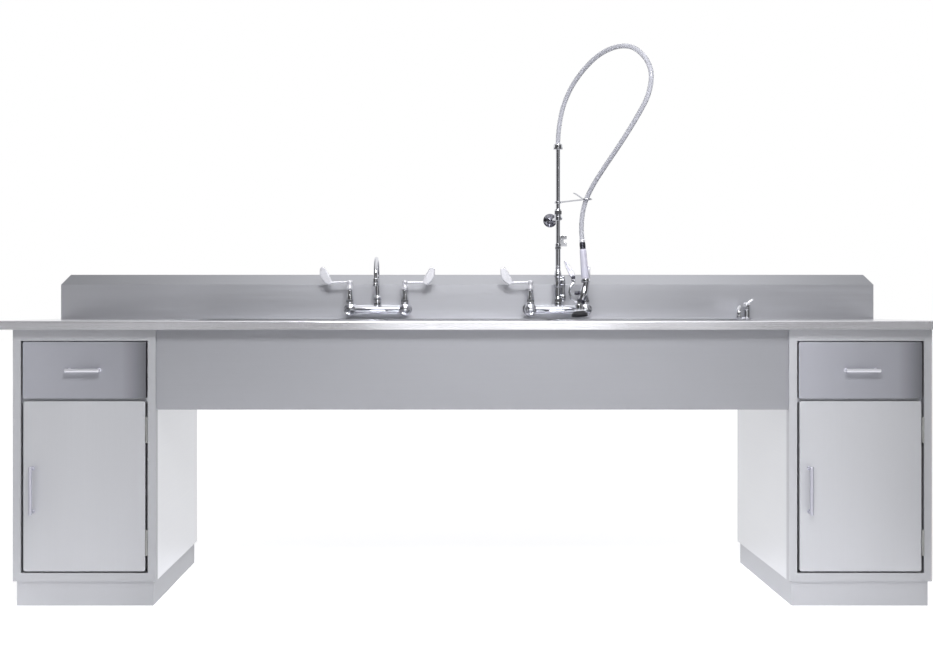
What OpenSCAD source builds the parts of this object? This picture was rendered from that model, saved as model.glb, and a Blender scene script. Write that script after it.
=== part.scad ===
// Stainless steel sink station: a counter with three bowls carried by two end cabinets,
// a mixer faucet, a spring-hose rinse unit and a small deck tap.
// X runs to the right, Y to the back, Z up. The origin is on the floor under the middle.

/* [Counter] */
// Length of the counter
counter_l = 3048; // [2960:1:3400]
// Depth of the counter, front to back
counter_d = 762; // [745:1:840]
// Height of the deck above the floor
deck_h = 914.4; // [880:0.1:960]
// Height of the turned-down edge
edge_h = 28; // [22:1:40]
// Depth of the return under the front edge
edge_return = 20; // [10:1:24]
// Outer radius of the front edge
edge_r = 5; // [3:0.5:8]
// Thickness of the stainless sheet
sheet_t = 1.6; // [1.2:0.1:2]

/* [Backsplash] */
// Thickness of the backsplash, front to back
splash_d = 50; // [45:1:60]
// Height of its upright face above the deck
splash_face_h = 128; // [110:1:160]
// Rise and run of the slope over the upright face
splash_slope = 38; // [20:1:40]
// Run of the slope at each end
splash_end = 26; // [10:1:40]
// Height of the lip turned down at the back
splash_lip = 25; // [10:1:40]

/* [Bowls] */
// Width of a bowl, inside
bowl_w = 610; // [560:1:620]
// Depth of a bowl, front to back, inside
bowl_d = 559; // [480:1:562]
// Depth of a bowl under the deck
bowl_deep = 203.2; // [150:0.1:220]
// Distance from one bowl's middle to the next
bowl_pitch = 668; // [664:1:676]
// Radius of a bowl's corners and floor
bowl_r = 19; // [15:1:45]
// Deck between the bowls and the backsplash
bowl_back = 90; // [88:1:120]
// Width of a channel between two bowls
channel_w = 36; // [24:1:40]
// Height of the channels under the deck
channel_h = 60; // [40:1:80]
// Width of the channel along the back
rear_channel_w = 40; // [30:1:60]

/* [Drains] */
// Radius of the drain's flange in the bowl
drain_flange_r = 57; // [52:0.5:60]
// Thickness of the flange
drain_flange_t = 2.5; // [1.5:0.1:4]
// Outer radius of the cup
drain_cup_r = 44; // [40:0.5:46]
// Depth of the cup
drain_cup_h = 35; // [28:1:45]
// Wall of the cup
drain_wall = 2; // [1.5:0.1:3]
// Height of the neck under the cup
drain_neck_h = 24; // [18:1:30]
// Thickness of the flat strainer
strainer_t = 2; // [1:0.1:3]
// Radius of a hole in the strainer
strainer_hole_r = 3; // [2:0.1:3.5]
// Outer radius of the tailpiece
tail_r = 19.05; // [15.9:0.01:20]
// Wall of the tailpiece
tail_wall = 1.5; // [1:0.1:2.5]
// Free length of the tailpiece under its nut
tail_l = 34; // [30:1:60]

/* [Apron] */
// Height of the apron's lower edge above the floor
apron_low = 629; // [600:1:700]
// Set back of the apron from the cabinet faces
apron_back = 10; // [5:1:12]
// Depth of the flange along the apron's lower edge
apron_flange = 25; // [15:1:40]

/* [Cabinets] */
// Width of a cabinet
cabinet_w = 457.2; // [440:0.1:470]
// Deck beyond the cabinet at each end
side_overhang = 53.2; // [30:0.1:80]
// Deck beyond the cabinet faces at the front
front_overhang = 38; // [34:1:45]
// Space behind a cabinet
cabinet_clear = 50; // [45:1:80]
// Thickness of the cabinet steel
cabinet_t = 1.5; // [1.2:0.1:2]
// Width of a face frame's stiles
stile_w = 25.4; // [22:0.1:30]
// Depth of a face frame
frame_d = 30; // [26:1:36]
// Height of the top rail that shows under the edge
top_rail = 36.4; // [30:0.1:50]
// Height of the bottom rail
bottom_rail = 27; // [20:1:40]
// Height of the kick base
kick_h = 80; // [60:1:110]
// Set back of the kick base at its front and sides
kick_inset = 10; // [5:1:40]
// Width of the flange that the kick base stands on
kick_flange = 20; // [12:1:40]
// Height of the shelf above the floor
shelf_z = 380; // [300:1:450]
// Height of the shelf's turned-down edge
shelf_edge = 25; // [15:1:35]

/* [Drawers] */
// Thickness of the drawer fronts and doors
front_t = 19; // [16:0.5:22]
// Height of a drawer front
drawer_front_h = 181.5; // [160:0.5:200]
// Gap over the drawer front
gap_top = 3; // [2:0.1:6]
// Gap at each side of the drawer front
gap_drawer = 6; // [3:0.1:8]
// Outside height of the drawer box
drawer_box_h = 120; // [80:1:130]
// Outside depth of the drawer box
drawer_box_d = 500; // [440:1:560]
// Height of the box's floor over the front's lower edge
drawer_box_up = 24; // [20:1:40]
// Room for the runner at each side of the box
runner_w = 12.7; // [12:0.1:14]
// Height of the fixed runner
runner_h = 30; // [26:1:36]
// Travel of the drawer
drawer_travel = 400; // [300:1:420]

/* [Doors] */
// Gap between drawer front and door
gap_mid = 8.6; // [6:0.1:12]
// Gap at each side of the door
gap_door = 8; // [8:0.1:10]
// Gap under the door
gap_low = 5; // [3:0.1:8]
// Length of a hinge
hinge_l = 80; // [60:1:90]
// Distance from the door's end to the hinge's middle
hinge_in = 92; // [70:1:110]
// Radius of a hinge knuckle
knuckle_r = 3.5; // [3:0.1:3.6]
// Radius of a hinge pin
pin_r = 1.5; // [1.2:0.05:1.8]
// Thickness of a hinge leaf
leaf_t = 2; // [1.5:0.1:2.2]
// Depth of a hinge leaf
leaf_d = 14; // [10:1:15]

/* [Pulls] */
// Diameter of a pull's bar
pull_bar = 12; // [9:0.1:13]
// Distance from the face to the middle of the bar
pull_out = 28; // [24:0.5:32]
// Length of the drawer pull
drawer_pull_l = 110; // [96:1:140]
// Length of the door pull
door_pull_l = 154; // [120:1:180]
// Distance from a pull's end to its post
pull_post_in = 8; // [6:0.5:20]
// Distance from the door's free edge to the pull
door_pull_in = 31; // [24:1:45]
// Height of the door pull's middle above the floor
door_pull_z = 373; // [330:1:420]

/* [Faucets] */
// Distance between the two valves of a faucet
valve_pitch = 203.2; // [203.2:0.1:210]
// Distance from the backsplash to the valves
valve_out = 65; // [60:1:75]
// Height of the valves above the deck
valve_up = 35.6; // [32:0.1:45]
// Radius of a valve body
valve_r = 23; // [20:0.5:24]
// Radius of the bar between the valves
bar_r = 17; // [12:0.5:19]
// Outer radius of a supply shank
shank_r = 10.65; // [10:0.05:11]
// Radius of a wall flange
flange_r = 25; // [22:0.5:28]
// Thickness of a wall flange
flange_t = 8; // [6:0.5:10]
// Height of a valve bonnet
bonnet_h = 48; // [42:1:54]
// Radius of a bonnet at its foot
bonnet_r = 14; // [12:0.5:16]
// Radius of a handle's hub
hub_r = 11; // [9:0.5:12]
// Height of a handle's hub
hub_h = 34; // [28:1:40]
// Reach of a wrist blade from its stem
blade_reach = 100; // [90:1:110]
// Rise of a blade's tip over its arm
blade_rise = 56; // [30:1:60]
// Thickness of a blade
blade_t = 9; // [6:0.5:12]

/* [Gooseneck] */
// Outer radius of the gooseneck tube
goose_r = 8; // [7:0.5:10]
// Radius of the gooseneck's bend
goose_bend = 63.5; // [55:0.5:75]
// Height of the bend's top over the valves
goose_top = 192; // [180:1:215]
// Radius of the aerator
aerator_r = 11; // [9.5:0.5:12]
// Height of the aerator
aerator_h = 30; // [20:1:38]

/* [Rinse unit] */
// Height of the adapter over the bar
adapter_h = 122; // [100:1:135]
// Radius of the adapter's main column
adapter_r = 14; // [12:0.5:16]
// Radius of the adapter's side column
adapter_side_r = 10; // [8:0.5:11]
// Radius of the lower riser
riser_low_r = 10.5; // [9.5:0.1:12]
// Length of the lower riser
riser_low_h = 75; // [60:1:90]
// Radius of the upper riser
riser_r = 8.5; // [7.5:0.1:9.5]
// Height of the riser's top above the deck
riser_up = 630.6; // [626:0.1:650]
// Distance from the riser's top down to the wall bracket
bracket_drop = 259; // [255:1:305]
// Sideways lean of the bracket's rod
bracket_shift = 19; // [10:1:30]
// Radius of the bracket's rod
bracket_rod_r = 6; // [4:0.5:8]
// Distance from the riser's top down to the finger hook
hook_drop = 200; // [198:1:202]
// Radius of the hook's wire
hook_wire_r = 3; // [2.5:0.1:3.5]

/* [Hose and spring] */
// Radius of the hose
hose_r = 8.5; // [8:0.1:9]
// Turn of the hose's loop from the right towards the front, in degrees
loop_turn = 56; // [50:1:60]
// Radius of the spring's wire
wire_r = 1.8; // [1.5:0.1:2]
// Radius from the spring's middle to its wire
spring_r = 15.2; // [14.5:0.1:16]
// Number of curls
spring_curls = 48; // [30:1:56]
// Length of hose that the spring covers
spring_l = 690; // [560:1:720]
// Shift of the spring to the outside of the bend
spring_shift = 4; // [0:0.1:4.4]

/* [Spray valve] */
// Length of the ferrule under the hose
ferrule_l = 35; // [28:1:45]
// Radius of the ferrule
ferrule_r = 11; // [10:0.5:12]
// Length of the grip
grip_l = 108; // [90:1:120]
// Radius of the grip at its top
grip_top_r = 12; // [11:0.5:13]
// Radius of the grip at its foot
grip_foot_r = 14; // [13:0.5:15]
// Radius of the spray valve's body
spray_r = 16; // [14:0.5:17]
// Length of the body under the grip
spray_l = 108; // [100:1:120]
// Radius of the spray face
face_r = 29; // [24:0.5:30]
// Height of the spray face's rubber bumper
bumper_h = 12; // [8:0.5:16]

/* [Deck tap] */
// Distance of the tap from the counter's right end
tap_in = 492; // [474:1:504]
// Radius of the tap's column
tap_r = 11; // [9:0.5:13]
// Height of the tap's column
tap_h = 52; // [46:1:70]
// Reach of the tap's spout
tap_reach = 200; // [150:1:210]
// Radius of the spout's tube
tap_tube_r = 7.5; // [6:0.5:8]
// Turn of the spout at rest, from the front towards the middle, in degrees
tap_turn = 22; // [0:1:40]

/* [Hidden] */

// Curves, clearances, the overrun of every cut and the step between turned faces
$fn = 48;
blend_fn = 24;
cut = 2;
step = 2;
fit = 0.3;
running = 0.05;
joint_gap = 0.5;

steel = [0.74, 0.75, 0.77];
dark_steel = [0.58, 0.59, 0.63];
painted = [0.77, 0.78, 0.79];
chrome = [0.86, 0.87, 0.9];
rubber = [0.16, 0.16, 0.18];
zinc = [0.66, 0.66, 0.62];
hose_grey = [0.55, 0.57, 0.58];
lavender = [0.74, 0.74, 0.84];

front_y = -counter_d / 2;
back_y = counter_d / 2;
splash_y = back_y - splash_d;
deck_under = deck_h - sheet_t;
face_y = front_y + front_overhang;
frame_back = face_y + frame_d;
cabinet_back = back_y - cabinet_clear;
cabinet_x = counter_l / 2 - side_overhang - cabinet_w / 2;
knee_half = cabinet_x - cabinet_w / 2;
bowl_y = splash_y - bowl_back - bowl_d / 2;
bowl_floor = deck_h - bowl_deep;

module rounded_rect(w, d, r) {
    square([w - 2 * r, d], center = true);
    square([w, d - 2 * r], center = true);
    for (x = [-1, 1], y = [-1, 1])
        translate([x * (w / 2 - r), y * (d / 2 - r)]) circle(r);
}

// A round bar from one point to another
module bar(p, q, r) {
    d = q - p;
    flat = norm([d.x, d.y]);
    translate(p) rotate([0, atan2(flat, d.z), atan2(d.y, d.x)]) cylinder(r = r, h = norm(d));
}

// Counter

module edge_outline(inset) {
    r = edge_r - inset;
    x = front_y + inset;
    z = deck_h - inset;
    difference() {
        translate([x, deck_h - edge_h - cut]) square([edge_return + edge_r, edge_h + cut - inset]);
        translate([x - cut, z - r]) square([r + cut, r + cut]);
        translate([x - cut, deck_h - edge_h - 2 * cut])
            square([edge_return + edge_r + 2 * cut, 2 * cut + (inset > 0 ? inset : 0)]);
    }
    translate([x + r, z - r]) circle(r);
}

module deck_section() {
    difference() {
        union() {
            edge_outline(0);
            translate([front_y + edge_r, deck_under]) square([counter_d - edge_r, sheet_t]);
        }
        edge_outline(sheet_t);
        translate([front_y + edge_return, deck_h - edge_h - cut])
            square([edge_r + cut, edge_h + cut - sheet_t]);
    }
}

module along_x(length) {
    translate([-length / 2, 0, 0]) rotate([90, 0, 90]) linear_extrude(length) children();
}

module deck() {
    color(steel) difference() {
        union() {
            along_x(counter_l) deck_section();
            for (s = [-1, 1])
                translate([s * (counter_l / 2 - sheet_t / 2), edge_r / 2, deck_h - edge_h / 2])
                    cube([sheet_t, counter_d - edge_r, edge_h], center = true);
        }
        for (i = [-1:1])
            translate([i * bowl_pitch, bowl_y, deck_under - cut])
                linear_extrude(sheet_t + 2 * cut) rounded_rect(bowl_w, bowl_d, bowl_r);
        translate([tap_x, tap_y, deck_under - cut])
            cylinder(r = tap_shank_r + fit, h = sheet_t + 2 * cut);
    }
}

slope_corner = sheet_t * tan(22.5);

module splash_section() {
    polygon([[splash_y, deck_h], [splash_y, deck_h + splash_face_h],
        [splash_y + splash_slope, deck_h + splash_face_h + splash_slope],
        [back_y, deck_h + splash_face_h + splash_slope], [back_y, deck_h]]);
}

module splash_hollow() {
    top = deck_h + splash_face_h + splash_slope;
    polygon([[splash_y + sheet_t, deck_h - cut],
        [splash_y + sheet_t, deck_h + splash_face_h - slope_corner],
        [splash_y + splash_slope + slope_corner, top - sheet_t],
        [back_y - sheet_t, top - sheet_t], [back_y - sheet_t, top - splash_lip],
        [back_y + cut, top - splash_lip], [back_y + cut, deck_h - cut]]);
}

module splash_front(inset) {
    half = counter_l / 2 - inset;
    top = deck_h + splash_face_h + splash_slope + cut;
    run = splash_end * (splash_slope + cut) / splash_slope;
    rotate([90, 0, 0]) translate([0, 0, -back_y - 2 * cut]) linear_extrude(splash_d + 4 * cut)
        polygon([[-half, deck_h - 2 * cut], [-half, deck_h + splash_face_h], [run - half, top],
            [half - run, top], [half, deck_h + splash_face_h], [half, deck_h - 2 * cut]]);
}

module backsplash() {
    color(dark_steel) difference() {
        intersection() {
            along_x(counter_l) splash_section();
            splash_front(0);
        }
        intersection() {
            along_x(counter_l) splash_hollow();
            splash_front(sheet_t);
        }
        at_valves() rotate([90, 0, 0])
            translate([0, 0, -splash_y - splash_d / 2])
                cylinder(r = shank_r + fit, h = splash_d / 2 + cut);
    }
}

module bowl_form(grow, over) {
    hull() for (x = [-1, 1], y = [-1, 1])
        translate([x * (bowl_w / 2 - bowl_r), y * (bowl_d / 2 - bowl_r), bowl_floor + bowl_r]) {
            sphere((bowl_r + grow) / cos(180 / blend_fn), $fn = blend_fn);
            cylinder(r = bowl_r + grow, h = bowl_deep - sheet_t - bowl_r + over, $fn = blend_fn);
        }
}

module bowl(i) {
    color(steel) translate([i * bowl_pitch, bowl_y, 0]) difference() {
        bowl_form(sheet_t, 0);
        bowl_form(0, cut);
        translate([0, 0, bowl_floor - sheet_t - cut])
            cylinder(r = drain_cup_r + fit, h = sheet_t + 2 * cut);
    }
}

module left_bowl() { bowl(-1); }
module middle_bowl() { bowl(0); }
module right_bowl() { bowl(1); }

// Each bowl's drain stands on the bowl's floor
module at_drains() {
    for (i = [-1:1]) translate([i * bowl_pitch, bowl_y, bowl_floor]) children();
}

drain_bore = drain_cup_r - drain_wall;
neck_r = tail_r + fit + 2 * drain_wall;
neck_end = -drain_cup_h - drain_wall - drain_neck_h;
slip_h = drain_neck_h * 2 / 3;
ledge_z = -drain_flange_t;
strainer_r = drain_bore - fit;
tail_end = neck_end - slip_h / 2 - tail_l;

module drain_bodies() {
    color(chrome) at_drains() difference() {
        union() {
            cylinder(r1 = drain_flange_r, r2 = drain_flange_r - drain_flange_t / 2,
                h = drain_flange_t);
            translate([0, 0, -drain_cup_h]) cylinder(r = drain_cup_r, h = drain_cup_h);
            translate([0, 0, -drain_cup_h - drain_wall])
                cylinder(r1 = drain_cup_r - drain_wall, r2 = drain_cup_r, h = drain_wall);
            translate([0, 0, neck_end]) cylinder(r = neck_r, h = drain_neck_h + cut);
        }
        translate([0, 0, ledge_z]) cylinder(r = drain_bore, h = -ledge_z + drain_flange_t + cut);
        translate([0, 0, -drain_cup_h])
            cylinder(r = drain_bore - drain_wall, h = drain_cup_h + cut);
        translate([0, 0, neck_end - cut]) cylinder(r = tail_r + fit, h = drain_neck_h + 3 * cut);
    }
}

module strainer_holes(ring) {
    count = 6 * ring;
    for (i = [0:count - 1])
        rotate(i * 360 / count) translate([ring * strainer_r / 4, 0, ledge_z - cut])
            cylinder(r = strainer_hole_r, h = strainer_t + 2 * cut, $fn = 16);
}

module drain_strainers() {
    color(steel) at_drains() difference() {
        translate([0, 0, ledge_z]) cylinder(r = strainer_r, h = strainer_t);
        for (ring = [1:3]) strainer_holes(ring);
    }
}

module drain_locknuts() {
    nut_h = drain_wall * 4;
    color(zinc) at_drains() translate([0, 0, -sheet_t - nut_h]) difference() {
        union() {
            cylinder(r = drain_flange_r - drain_wall, h = nut_h);
            for (a = [0:60:300]) rotate(a)
                translate([drain_flange_r, 0, nut_h / 2])
                    cube([drain_wall * 6, drain_wall * 4, nut_h * 3 / 4], center = true);
        }
        translate([0, 0, -cut]) cylinder(r = drain_cup_r + fit, h = nut_h + 2 * cut);
    }
}

module drain_tailpieces() {
    color(chrome) at_drains() {
        slip_nut();
        translate([0, 0, tail_end]) difference() {
            union() {
                cylinder(r = tail_r, h = tail_l);
                cylinder(r = tail_r - fit, h = tail_l + slip_h);
            }
            translate([0, 0, -cut]) cylinder(r = tail_r - tail_wall, h = tail_l + slip_h + 2 * cut);
        }
    }
}

module slip_nut() {
    translate([0, 0, neck_end - slip_h / 2]) difference() {
        cylinder(r = neck_r + 2 * drain_wall, h = slip_h, $fn = 8);
        translate([0, 0, -cut]) cylinder(r = tail_r + running, h = slip_h);
        translate([0, 0, slip_h / 2]) cylinder(r = neck_r + running, h = slip_h);
    }
}

apron_y = face_y + apron_back;

module front_apron() {
    color(dark_steel) along_x(2 * knee_half) {
        translate([apron_y, apron_low]) square([sheet_t, deck_under - apron_low]);
        translate([apron_y, apron_low]) square([apron_flange, sheet_t]);
    }
}

module channel_section(w) {
    difference() {
        translate([-w / 2, deck_under - channel_h]) square([w, channel_h]);
        translate([sheet_t - w / 2, deck_under - channel_h - cut])
            square([w - 2 * sheet_t, channel_h + cut - sheet_t]);
    }
}

module deck_channels() {
    run_y = splash_y - rear_channel_w - apron_y - sheet_t;
    color(zinc) {
        for (i = [-1, 1])
            translate([i * bowl_pitch / 2, splash_y - rear_channel_w, 0]) rotate([90, 0, 0])
                linear_extrude(run_y) channel_section(channel_w);
        translate([0, splash_y - rear_channel_w / 2, 0])
            along_x(2 * knee_half) channel_section(rear_channel_w);
    }
}

// Cabinets

opening_half = cabinet_w / 2 - stile_w;
opening_top = deck_h - edge_h - top_rail;
opening_low = kick_h + bottom_rail;
drawer_top = opening_top - gap_top;
drawer_low = drawer_top - drawer_front_h;
door_top = drawer_low - gap_mid;
door_low = opening_low + gap_low;
door_h = door_top - door_low;
rail_play = 2;
cross_rail_h = 22;

module at_cabinet(side) { translate([side * cabinet_x, 0, 0]) children(); }

module cabinet_shell(side) {
    depth = cabinet_back - frame_back;
    height = deck_under - kick_h;
    color(painted) at_cabinet(side) difference() {
        translate([-cabinet_w / 2, frame_back, kick_h]) cube([cabinet_w, depth, height]);
        translate([cabinet_t - cabinet_w / 2, frame_back - cut, kick_h + cabinet_t])
            cube([cabinet_w - 2 * cabinet_t, depth + cut - cabinet_t, height + cut]);
    }
}

module left_cabinet_shell() { cabinet_shell(-1); }
module right_cabinet_shell() { cabinet_shell(1); }

// A frame of hollow stiles and rails, open at the back, with a thin rail behind the fronts
module face_frame() {
    height = deck_under - kick_h;
    inner_d = frame_d - cabinet_t;
    difference() {
        translate([-cabinet_w / 2, face_y, kick_h]) cube([cabinet_w, frame_d, height]);
        translate([-opening_half, face_y - cut, opening_low])
            cube([2 * opening_half, frame_d + 2 * cut, opening_top - opening_low]);
        for (s = [-1, 1])
            translate([s * (opening_half + stile_w / 2), face_y + cabinet_t + inner_d / 2 + cut,
                (kick_h + deck_under) / 2])
                cube([stile_w - 2 * cabinet_t, inner_d + 2 * cut, height - 2 * cabinet_t],
                    center = true);
        translate([-opening_half, face_y + cabinet_t, kick_h + cabinet_t])
            cube([2 * opening_half, frame_d, bottom_rail - 2 * cabinet_t]);
        translate([-opening_half, face_y + cabinet_t, opening_top + cabinet_t])
            cube([2 * opening_half, frame_d, deck_under - opening_top - 2 * cabinet_t]);
    }
    translate([-opening_half, face_y + front_t + rail_play,
        drawer_low - gap_mid / 2 - cross_rail_h / 2])
        cube([2 * opening_half, frame_d - front_t - rail_play, cross_rail_h]);
}

module face_frames() {
    color(painted) for (side = [-1, 1]) at_cabinet(side) face_frame();
}

module kick_bases() {
    w = cabinet_w - 2 * kick_inset;
    y0 = face_y + kick_inset;
    d = cabinet_back - y0;
    color(painted) for (side = [-1, 1]) at_cabinet(side) difference() {
        translate([-w / 2, y0, 0]) cube([w, d, kick_h]);
        translate([sheet_t - w / 2, y0 + sheet_t, sheet_t])
            cube([w - 2 * sheet_t, d - 2 * sheet_t, kick_h]);
        translate([kick_flange - w / 2, y0 + kick_flange, -cut])
            cube([w - 2 * kick_flange, d - 2 * kick_flange, kick_h]);
    }
}

shelf_play = 1;
shelf_w = cabinet_w - 2 * cabinet_t - 2 * shelf_play;
shelf_front = frame_back + frame_d / 2;
shelf_d = cabinet_back - cabinet_t - shelf_play - shelf_front;
clip_w = 12;
clip_d = 20;
clip_h = 8;

module shelves() {
    color(painted) for (side = [-1, 1]) at_cabinet(side) difference() {
        translate([-shelf_w / 2, shelf_front, shelf_z - shelf_edge])
            cube([shelf_w, shelf_d, shelf_edge]);
        translate([cabinet_t - shelf_w / 2, shelf_front + cabinet_t, shelf_z - shelf_edge - cut])
            cube([shelf_w - 2 * cabinet_t, shelf_d - 2 * cabinet_t, shelf_edge + cut - cabinet_t]);
    }
}

module shelf_clips() {
    color(zinc) for (side = [-1, 1], s = [-1, 1], y = [shelf_front + clip_d,
        shelf_front + shelf_d - 2 * clip_d])
        at_cabinet(side) translate([s * (cabinet_w / 2 - cabinet_t - clip_w / 2), y + clip_d / 2,
            shelf_z - shelf_edge - clip_h / 2]) cube([clip_w, clip_d, clip_h], center = true);
}

// Drawers run on a fixed channel with a roller at its front and a rail with one at its back

runner_z = drawer_low + drawer_box_up + drawer_box_h / 2 - runner_h / 2;
box_half = opening_half - rail_play - runner_w - shelf_play;
runner_half = box_half + runner_w;
runner_back = face_y + front_t + drawer_box_d + clip_w;
lip_d = runner_w - 2 * cabinet_t - shelf_play;
roller_t = lip_d - cabinet_t - shelf_play;
front_roller_r = runner_h / 4;
rear_roller_r = runner_h / 2 - cabinet_t - fit;
rail_top = front_roller_r + fit;
rear_roller_y = face_y + front_t + cabinet_t + drawer_box_d - 2 * clip_w - rear_roller_r;
stop_y = rear_roller_y - drawer_travel - rear_roller_r;
stop_h = rear_roller_r / 4;

module fixed_runner() {
    l = runner_back - frame_back;
    web_x = runner_half - cabinet_t;
    translate([web_x, frame_back, runner_z - runner_h / 2]) cube([cabinet_t, l, runner_h]);
    for (z = [runner_z - runner_h / 2, runner_z + runner_h / 2 - cabinet_t])
        translate([runner_half - lip_d, frame_back, z]) cube([lip_d, l, cabinet_t]);
    translate([web_x, frame_back, runner_z - runner_h / 2])
        cube([opening_half + stile_w / 2 - web_x, cabinet_t, runner_h]);
    translate([web_x, runner_back - cabinet_t, runner_z - runner_h / 2])
        cube([cabinet_w / 2 - cabinet_t - web_x, cabinet_t, runner_h]);
    translate([web_x - roller_t, frame_back + 2 * front_roller_r, runner_z]) rotate([0, 90, 0])
        cylinder(r = front_roller_r, h = roller_t);
    translate([runner_half - lip_d, stop_y - cabinet_t, runner_z + runner_h / 2 - stop_h])
        cube([lip_d, cabinet_t, stop_h]);
}

module both_sides() {
    children();
    mirror([1, 0, 0]) children();
}

module drawer_runners() {
    color(zinc) for (side = [-1, 1]) at_cabinet(side) both_sides() fixed_runner();
}

module drawer_rail() {
    y0 = face_y + front_t + cabinet_t;
    l = drawer_box_d - 2 * clip_w;
    flange_l = l - 2 * rear_roller_r - clip_w;
    translate([box_half, y0, runner_z - rail_top]) cube([cabinet_t, l, 2 * rail_top]);
    translate([box_half, y0, runner_z + rail_top]) cube([roller_t + shelf_play, flange_l, cabinet_t]);
    translate([box_half, rear_roller_y, runner_z]) rotate([0, 90, 0])
        cylinder(r = rear_roller_r, h = roller_t + cabinet_t);
}

module drawer_rails(side) { color(zinc) at_cabinet(side) both_sides() drawer_rail(); }
module left_drawer_rails() { drawer_rails(-1); }
module right_drawer_rails() { drawer_rails(1); }

drawer_half = opening_half - gap_drawer;

module drawer_front(side) {
    color(painted) at_cabinet(side) difference() {
        translate([-drawer_half, face_y, drawer_low])
            cube([2 * drawer_half, front_t, drawer_front_h]);
        translate([cabinet_t - drawer_half, face_y + cabinet_t, drawer_low + cabinet_t])
            cube([2 * drawer_half - 2 * cabinet_t, front_t, drawer_front_h - 2 * cabinet_t]);
    }
}

module left_drawer_front() { drawer_front(-1); }
module right_drawer_front() { drawer_front(1); }

module drawer_box(side) {
    z0 = drawer_low + drawer_box_up;
    y0 = face_y + front_t;
    inner_back = front_t - 2 * cabinet_t;
    color(painted) at_cabinet(side) {
        difference() {
            translate([-box_half, y0, z0]) cube([2 * box_half, drawer_box_d, drawer_box_h]);
            translate([cabinet_t - box_half, y0 + cabinet_t, z0 + cabinet_t])
                cube([2 * box_half - 2 * cabinet_t, drawer_box_d - 2 * cabinet_t, drawer_box_h]);
        }
        for (x = [-box_half / 2, box_half / 2])
            translate([x - clip_w, y0 - inner_back - cabinet_t, z0 + drawer_box_h / 4])
                cube([2 * clip_w, inner_back + 2 * cabinet_t, drawer_box_h / 2]);
    }
}

module left_drawer_box() { drawer_box(-1); }
module right_drawer_box() { drawer_box(1); }

// A pull: a round bar on two posts, drawn along X with its faces' plane at y = 0
module pull(length) {
    translate([-length / 2, -pull_out, 0]) rotate([0, 90, 0])
        cylinder(r = pull_bar / 2, h = length);
    for (s = [-1, 1])
        translate([s * (length / 2 - pull_post_in), 0, 0]) rotate([90, 0, 0]) {
            cylinder(r = pull_bar / 2.5, h = pull_out);
            cylinder(r1 = pull_bar * 0.8, r2 = pull_bar / 2.5, h = pull_bar / 3);
        }
}

module drawer_pull(side) {
    color(chrome) at_cabinet(side)
        translate([0, face_y, drawer_low + drawer_front_h / 2]) pull(drawer_pull_l);
}

module left_drawer_pull() { drawer_pull(-1); }
module right_drawer_pull() { drawer_pull(1); }

// Doors hang on the right of both cabinets

door_half = opening_half - gap_door;
hinge_x = opening_half - gap_door / 2;
hinge_y = face_y - leaf_t;

module door(side) {
    color(painted) at_cabinet(side) difference() {
        translate([-door_half, face_y, door_low]) cube([2 * door_half, front_t, door_h]);
        translate([cabinet_t - door_half, face_y + cabinet_t, door_low + cabinet_t])
            cube([2 * door_half - 2 * cabinet_t, front_t - 2 * cabinet_t, door_h - 2 * cabinet_t]);
    }
}

module left_door() { door(-1); }
module right_door() { door(1); }

module door_pull(side) {
    color(chrome) at_cabinet(side)
        translate([door_pull_in - door_half, face_y, door_pull_z])
            rotate([0, 90, 0]) pull(door_pull_l);
}

module left_door_pull() { door_pull(-1); }
module right_door_pull() { door_pull(1); }

module at_hinges() {
    for (z = [door_low + hinge_in, door_top - hinge_in])
        translate([hinge_x, hinge_y, z - hinge_l / 2]) children();
}

knuckle_l = hinge_l / 3;

// One leaf, with knuckles at the given places of three; side +1 is the frame's
module hinge_leaf(s, places) {
    start = knuckle_r + joint_gap;
    edge = gap_door / 2;
    translate([s > 0 ? edge - leaf_t : -edge, start, 0]) cube([leaf_t, leaf_d, hinge_l]);
    difference() {
        for (i = places) translate([0, 0, i * knuckle_l + (i > 0 ? joint_gap / 2 : 0)]) {
            l = knuckle_l - (i == 1 ? joint_gap : joint_gap / 2);
            cylinder(r = knuckle_r, h = l);
            translate([s > 0 ? edge - leaf_t : -edge, 0, 0]) cube([leaf_t, start + cut / 2, l]);
        }
        translate([0, 0, -cut]) cylinder(r = pin_r + running, h = hinge_l + 2 * cut);
    }
}

module door_hinge_frame_leaves() {
    color(zinc) for (side = [-1, 1]) at_cabinet(side) at_hinges() hinge_leaf(1, [0, 2]);
}

module door_hinge_leaves(side) {
    color(zinc) at_cabinet(side) at_hinges() hinge_leaf(-1, [1]);
}

module left_door_hinge_leaves() { door_hinge_leaves(-1); }
module right_door_hinge_leaves() { door_hinge_leaves(1); }

module door_hinge_pins() {
    color(zinc) for (side = [-1, 1]) at_cabinet(side) at_hinges() {
        cylinder(r = pin_r, h = hinge_l);
        translate([0, 0, -pin_r]) cylinder(r = knuckle_r - leaf_t / 4, h = pin_r);
        translate([0, 0, hinge_l]) cylinder(r = knuckle_r - leaf_t / 4, h = pin_r);
    }
}

catch_w = 40;
catch_h = 15;

module door_catches() {
    z = drawer_low - gap_mid / 2 - cross_rail_h / 2 - catch_h;
    color(rubber) for (side = [-1, 1]) at_cabinet(side)
        translate([catch_h - door_half, face_y + front_t + fit, z])
            cube([catch_w, frame_d - front_t - fit, catch_h]);
}

// Faucets: each has two valves on a bar, held to the backsplash by two supply shanks

faucet_y = splash_y - valve_out;
valve_z = deck_h + valve_up;
mixer_x = -bowl_pitch / 2;
rinse_x = bowl_pitch / 2;
neck_top = valve_r + step;
stem_r = 5;
swivel_r = 6;
socket_r = bar_r - step;
socket_h = bar_r + 4 * step;
hub_z = neck_top + bonnet_h + joint_gap;
stem_top = hub_z + hub_h - 4 * step;

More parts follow.
